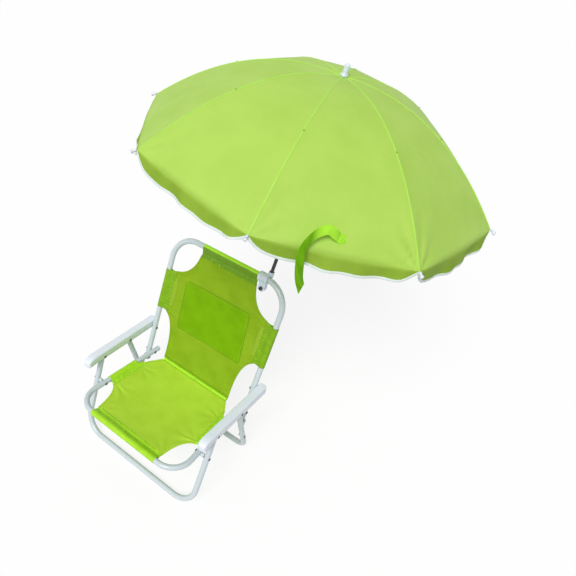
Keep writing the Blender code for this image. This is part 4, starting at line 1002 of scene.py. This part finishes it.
RIDGE = 0.00018                # of the knob's knurled edge
half = LUG_T / 2 + PIN_GAP
knob = [(0.0008, half + NUT_T), (NUT_R, half + NUT_T - 0.0003), (NUT_R, half + 0.0002), (SCREW_R, half),
        (SCREW_R, -half), (KNOB_R * 0.80, -half), (KNOB_R, -half - 0.0006), (KNOB_R, -half - KNOB_T + 0.0008),
        (KNOB_R * 0.84, -half - KNOB_T), (KNOB_R * 0.40, -half - KNOB_T),
        (KNOB_R * 0.34, -half - KNOB_T * 0.62), (0.0008, -half - KNOB_T * 0.60)]
rows = turned(knob, 48)
for row, (r, z) in zip(rows, knob):
    if r > KNOB_R * 0.9 and z < 0:
        for i, p in enumerate(row):
            row[i] = p + Vector((p.x, p.y, 0.0)).normalized() * (RIDGE * (-1) ** (i // 2) - RIDGE)
finished("clamp_screw_knob", surface(rows, True, True), BLACK, "clamp_screw", "clamp_screw",
         SCREW_AXES)


# Canopy: one cloth panel on each rib, from the middle of one gore to the middle of the next
HOLE_SHARE = (POLE_R + FIT_GAP) / CANOPY_R
VALANCE_DEPTHS = [0.0245, 0.0240, 0.0350, 0.0250, 0.0240, 0.0245, 0.0240, 0.0235]
BINDING_H, BINDING_T = 0.0046, 0.0013
GORE_W = CANOPY_R * rad(GORE)
APEX = PARASOL @ Vector((0.0, 0.0, APEX_RISE))
NORMAL_STEP, RIM_SHARE, FOLD_DEPTH = 0.004, 0.018, 0.28


def cloth_heading(k, g):
    """Heading in radians at g gores from rib k."""
    return rad(FIRST_RIB + GORE * (k + g))


def gore_of(k, g):
    """Gore index and share across it, for g gores from rib k."""
    place = k + g
    return floor(place) % RIBS, place - floor(place)


def cloth_ripple(k, g, t, spot):
    """Folds of the stretched cloth, along its own normal."""
    across, inward = CANOPY_R * t * sin(rad(GORE * g)), CANOPY_R * (1 - t)
    away = hypot(across, inward)
    strength = 0.0016 if k == 2 else 0.0010
    folds = strength * bell(away / 0.055) * min(1.0, away / 0.010) \
        * sin(8.0 * atan2(abs(across), inward + 0.002) + k)
    gather = 0.0004 * bell(t / 0.16) * cos(4 * pi * g) * min(1.0, t / 0.05)
    soft = 0.0011 * noise.noise(spot * 11.0) * t
    return (folds + gather + soft) * min(1.0, abs(g) / 0.07)


def canopy_point(k, g, t):
    """Point of the canopy and its normal, g gores from rib k and at a share t from the apex to the rim."""
    out = level(cloth_heading(k, g))
    reach = CANOPY_R * t * (gore_reach(gore_of(k, g)[1]) if t > HOLE_SHARE else 1.0)
    spot = out * reach + UP * (APEX_RISE - drop(t))
    steep = atan(fall(t))
    normal = out * sin(steep) + UP * cos(steep)
    return spot + normal * cloth_ripple(k, g, t, spot), normal


def valance_point(k, g, v):
    """Point of the valance and its normal, at a share v from the fold down to the lower edge."""
    gore, s = gore_of(k, g)
    bow, out = arch(s), level(cloth_heading(k, g))
    hang = VALANCE_TIP + (VALANCE_DEPTHS[gore] - VALANCE_TIP) * (1 - (1 - bow) ** 4)
    hang += 0.0012 * wander(out.x * 9, out.y * 9, 4.0) * bow
    curl = 0.0085 * bell((s - 0.90) / 0.055)
    wave = 0.0030 * sin(4 * pi * s + 0.8 * gore) + 0.0020 * sin(9 * pi * s + gore) * bow
    wave += 0.0022 * wander(out.x * 6, out.y * 6, 1.0)
    flare = (VALANCE_FLARE * bow + (wave + curl) * bow ** 0.3) * v
    return canopy_point(k, g, 1.0)[0] + out * flare - UP * (hang * v), out


HALF_COLUMNS = [0.5 * (i / 18) ** 1.35 for i in range(19)]
CLOTH_SHARES = [HOLE_SHARE + (1 - HOLE_SHARE) * i / 44 for i in range(44)] + [0.984, 0.990, 0.995, 1.0]
VALANCE_SHARES = [0.0, 0.05, 0.12, 0.22, 0.34, 0.48, 0.62, 0.76, 0.88, 1.0]


def cloth_facing(point, k, g, t, way):
    """The cloth's normal; on a rib, that of the gore which way points to."""
    step = NORMAL_STEP
    g = g if abs(g) > step else way * step
    across = point(k, g + step, t)[0] - point(k, g - step, t)[0]
    down = point(k, g, min(1.0, t + step))[0] - point(k, g, max(0.0, t - step))[0]
    return down.cross(across).normalized()


def soft_facing(point, k, g, t, way):
    """The cloth's normal, rounded over the fold at the rim."""
    plain = cloth_facing(point, k, g, t, way)
    near = max(0.0, (t - 1 + RIM_SHARE) / RIM_SHARE if point is canopy_point else 1 - t / FOLD_DEPTH)
    if near == 0.0:
        return plain
    fold = cloth_facing(canopy_point, k, g, 1.0, way) * 0.55 \
        + cloth_facing(valance_point, k, g, 0.0, way) * 0.45
    return plain.lerp(fold.normalized(), near ** 1.5).normalized()


def cloth_at(point, g, t):
    """Place on the cloth in metres: across from the rib, and along from the apex."""
    if point is canopy_point:
        return GORE_W * g * t, PANEL_LENGTH * t
    return GORE_W * g, PANEL_LENGTH * (1 + 0.066 * t)


def two_faced(name, point, steps, k, finish, replaces=None):
    """Thin cloth on both sides of a rib, upper and under face, smooth into its neighbours."""
    work, normals_out, area = bmesh.new(), [], 0.0
    for way in (-1, 1):
        columns = [way * g for g in HALF_COLUMNS]
        rows = [[point(k, g, t)[0] for g in columns] for t in steps]
        normals = [[soft_facing(point, k, g, t, way) for g in columns] for t in steps]
        where = [[cloth_at(point, g, t) for g in columns] for t in steps]
        under = [[p - n * CANOPY_T for p, n in zip(*pair)] for pair in zip(rows, normals)]
        for sheet, face in ((rows, 1), (under, -1)):
            order = -1 if way == face else 1
            surface([row[::order] for row in sheet], work=work, where=[row[::order] for row in where])
            normals_out += [n * face for row in normals for n in row[::order]]
        area += flat_area(rows)
    made = finished(name, work, finish, f"rib_{k}", replaces, turn_out=False, angle=180.0)
    turn = PARASOL.to_3x3()
    made.data.normals_split_custom_set_from_vertices([turn @ n for n in normals_out])
    return made, area


def gathered(made, k):
    """Gives a piece a mesh of its own."""
    out = level(cloth_heading(k, 0))
    PARASOL.to_3x3() @ Vector((-out.y, out.x, 0.0))
    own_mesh(made)


for k in range(RIBS):
    out = level(cloth_heading(k, 0))
    cloth, area = two_faced(f"canopy_panel_{k}", canopy_point, CLOTH_SHARES, k, CANOPY_CLOTH,
                            "canopy" if k == 0 else None)
    valance, more = two_faced(f"canopy_valance_{k}", valance_point, VALANCE_SHARES, k, VALANCE_PAINTED_SHADE_CLOTH)
    lower = [valance_point(k, g, 1.0) for g in [-g for g in reversed(HALF_COLUMNS[1:])] + HALF_COLUMNS]
    ridge = [canopy_point(k, 0.0, t) for t in np.linspace(0.022, 0.998, 60)]
    tie_at, tie_up = canopy_point(k, 0.0, 0.56)
    tape, seam, tie = (finished(f"{word}_{k}", rod(path, rounded(*size), up), look, f"rib_{k}")
                       for word, path, size, up, look in (
        ("canopy_binding", [p for p, _ in lower], (BINDING_H, BINDING_T, BINDING_T * 0.45),
         [n for _, n in lower], BINDING),
        ("canopy_seam", [p + n * 0.0001 for p, n in ridge], (0.0022, 0.0010, 0.0004), [n for _, n in ridge],
         SEAM_HIGHLIGHT_CLOTH),
        ("rib_tie", [tie_at + tie_up * 0.0009 + out * d for d in (-0.0022, -0.0008, 0.0008, 0.0022)],
         (0.0016, 0.0008, 0.0003), tie_up, POCKET_CLOTH)))
    for made in (cloth, valance, tape, seam, tie):
        gathered(made, k)

# Rib tips: a moulded cap with a round end on each rib
CAP_TILT = atan(fall(1.0)) * 0.55
CAP_AWAY = CANOPY_R + FIT_GAP + CAP_R * CAP_TAPER_SHARE * sin(CAP_TILT) + CAP_L / 2 * cos(CAP_TILT)
CAP_RISE = APEX_RISE - CANOPY_DROP - CAP_L / 2 * sin(CAP_TILT)
tip = CAP_L / 2 - 0.0018
cap = [(0.0010, -CAP_L / 2), (CAP_R * 0.66, -CAP_L / 2), (CAP_R * 0.74, -CAP_L / 2 + 0.0005)]
cap += scaled(CAP_R, CAP_L, (
    (0.62, -0.20), (0.58, -0.04), (0.78, 0.06), (0.98, 0.20), (0.96, 0.34), (0.70, 0.45)))
cap += [(CAP_R * 0.34, tip), (CAP_R * 0.30, tip - 0.0012), (0.0005, tip - 0.0013)]
for k in range(RIBS):
    place = shift(level(cloth_heading(k, 0)) * CAP_AWAY + UP * CAP_RISE)
    finished(f"rib_end_{k}", lathe(cap, 24), CLEAR, f"rib_{k}", f"rib_cap_{k}",
             place @ spin(FIRST_RIB + GORE * k, "Z") @ spin(degrees(CAP_TILT) + 90, "Y"))

# Tie strap: sewn on the cloth, folded over and hanging past the edge. Each line of its path is a place in
# gores, shares of the canopy's radius and drop, and how the webbing stands and is twisted there.
WEBBING_W, SLANT = 0.0142, 0.0045
STRAP = ((1.520, 0.886, 0.877, 1.10, 0), (1.500, 0.890, 0.868, 1.05, 0), (1.470, 0.902, 0.828, 0.95, -8),
         (1.409, 0.916, 0.774, 0.85, -14), (1.350, 0.938, 0.820, 0.50, -26), (1.311, 0.967, 0.901, 0.30, -32),
         (1.298, 0.990, 0.989, 0.15, -34), (1.311, 0.996, 1.109, 0.0, -30), (1.326, 0.996, 1.210, 0.0, -34),
         (1.344, 0.993, 1.300, 0.0, -40), (1.372, 0.991, 1.392, 0.0, -44))
points, uprights, twists = [], [], []
for gores, reach_share, fall_share, up_share, twist in STRAP:
    out = level(cloth_heading(0, gores))
    points.append(out * (CANOPY_R * reach_share) + UP * (APEX_RISE - CANOPY_DROP * fall_share))
    uprights.append((out + UP * up_share).normalized())
    twists.append(Vector((twist, 0.0, 0.0)))
path, uprights, twists = smooth_path(points), smooth_path(uprights), smooth_path(twists)
faces_up = []
for i, (upright, twist) in enumerate(zip(uprights, twists)):
    run = (path[min(i + 1, len(path) - 1)] - path[max(i - 1, 0)]).normalized()
    faces_up.append(Matrix.Rotation(rad(twist.x), 3, run) @ upright.normalized())
strap_rows = sweep(path, rounded(WEBBING_W, STRAP_T, STRAP_T * 0.4), faces_up)
for i, row in enumerate(strap_rows[-5:]):
    centre = sum(row, Vector()) / len(row)
    slant = (path[-1] - path[-2]).normalized() * SLANT * i / 4
    across = (row[0] - centre).normalized()
    row[:] = [p + slant * ((p - centre).dot(across) / (WEBBING_W / 2)) for p in row]
strap = finished("tie_strap_webbing", surface(strap_rows, True, True), STRAP_CLOTH, "rib_1", "tie_strap")

# Its sewn end, with a box of stitches and a cross in it
sewn_up, sewn_run = faces_up[0], (path[0] - path[2]).normalized()
sewn_across = sewn_run.cross(sewn_up).normalized()
sewn_path = [path[0] + sewn_run * d + sewn_up * 0.0009 for d in (-0.0052, -0.0030, 0.0, 0.0030, 0.0056, 0.0064)]
sewn = finished("tie_strap_sewn_end", rod(sewn_path, rounded(WEBBING_W + 0.0006, 0.0018, 0.0007), sewn_up),
                STRAP_CLOTH, "rib_1", None)
box = bmesh.new()
for line in (((-1, -1), (-1, 1)), ((-1, 1), (1, 1)), ((1, 1), (1, -1)), ((1, -1), (-1, -1)), ((-1, -1), (1, 1)),
             ((-1, 1), (1, -1))):
    a, b = (path[0] + sewn_run * (0.0008 + 0.0042 * u) + sewn_across * (0.0054 * v) + sewn_up * 0.0019
            for u, v in line)
    rod([a, a.lerp(b, 0.5), b], circle(0.00028, 6), sewn_up, work=box)
box_stitch = finished("tie_strap_stitches", box, THREAD, "rib_1")
for made in (strap, sewn, box_stitch):
    gathered(made, 1)
sum((b - a).length for a, b in zip(path, path[1:]))

# Finishes of the pieces that keep their solids
for name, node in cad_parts.items():
    if not node.hide_render:
        kept = {"pole": POLE_STEEL, "rear_brace_left": PAINT, "rear_brace_right": PAINT}.get(name, WIRE_STEEL)
        node.data.materials.clear()
        node.data.materials.append(kept)

# Floor and light
WHITE = (1.0, 1.0, 1.0)
FLOOR_HALF, FLOOR_LOW, FLOOR_PALE, SHADOW_SHARE = 9.0, -0.0005, 0.62, 0.17
EVEN_LIGHT, EVEN_COLOUR = 0.40, (0.94, 0.97, 1.0)


def fresh_nodes(holder):
    nodes = Nodes(holder)
    nodes.tree.nodes.clear()
    return nodes


def seen_share(nodes):
    """1 for rays that look, also by a reflection or through clear things, and 0 for those that light."""
    looks, glossy, through = (nodes.node("ShaderNodeLightPath", out=kind) for kind in (
        "Is Camera Ray", "Is Glossy Ray", "Is Transmission Ray"))
    return looks.math("MAXIMUM", glossy).math("MAXIMUM", through)


def lay_floor():
    """Pale floor: white where it is looked at, apart from the object's faint shadow."""
    work = bmesh.new()
    bmesh.ops.create_grid(work, x_segments=1, y_segments=1, size=FLOOR_HALF)
    made = add("floor", mesh_of("floor", work))
    made.location.z = FLOOR_LOW
    look = bpy.data.materials.new("pale_floor")
    nodes = fresh_nodes(look)
    pale, bright = (nodes.node("ShaderNodeBsdfDiffuse", None, {"Color": colour}) for colour in (
        (FLOOR_PALE, FLOOR_PALE, FLOOR_PALE), WHITE))
    glow = nodes.node("ShaderNodeEmission", None, {"Color": WHITE, "Strength": 1.0})
    shadowed = nodes.node("ShaderNodeMixShader", None, {0: SHADOW_SHARE, 1: glow, 2: bright})
    both = nodes.node("ShaderNodeMixShader", None, {0: seen_share(nodes), 1: pale, 2: shadowed})
    nodes.feed(nodes.tree.nodes.new("ShaderNodeOutputMaterial").inputs["Surface"], both)
    made.data.materials.append(look)


def sun(name, heading, rise, spread, power, colour):
    """Even light from a heading about Z and a height above the floor, as soft as its spread."""
    light = bpy.data.lights.new(name, "SUN")
    light.energy, light.angle, light.color = power, rad(spread), colour
    made = add(name, light)
    made.rotation_mode = "QUATERNION"
    towards = level(rad(heading)) * cos(rad(rise)) + UP * sin(rad(rise))
    made.rotation_quaternion = towards.to_track_quat("Z", "Y")


def surroundings():
    """White behind the object; a plain even light on it."""
    world = bpy.context.scene.world = bpy.data.worlds.new("surroundings")
    nodes = fresh_nodes(world)
    even, seen = (nodes.node("ShaderNodeBackground", None, {"Color": colour, "Strength": power})
                  for colour, power in ((EVEN_COLOUR, EVEN_LIGHT), (WHITE, 1.0)))
    both = nodes.node("ShaderNodeMixShader", None, {0: seen_share(nodes), 1: even, 2: seen})
    nodes.feed(nodes.tree.nodes.new("ShaderNodeOutputWorld").inputs["Surface"], both)


lay_floor()
surroundings()
sun("key", 282.0, 49.0, 30.0, 2.40, (1.0, 0.99, 0.97))
bpy.context.scene.view_settings.view_transform = "Standard"
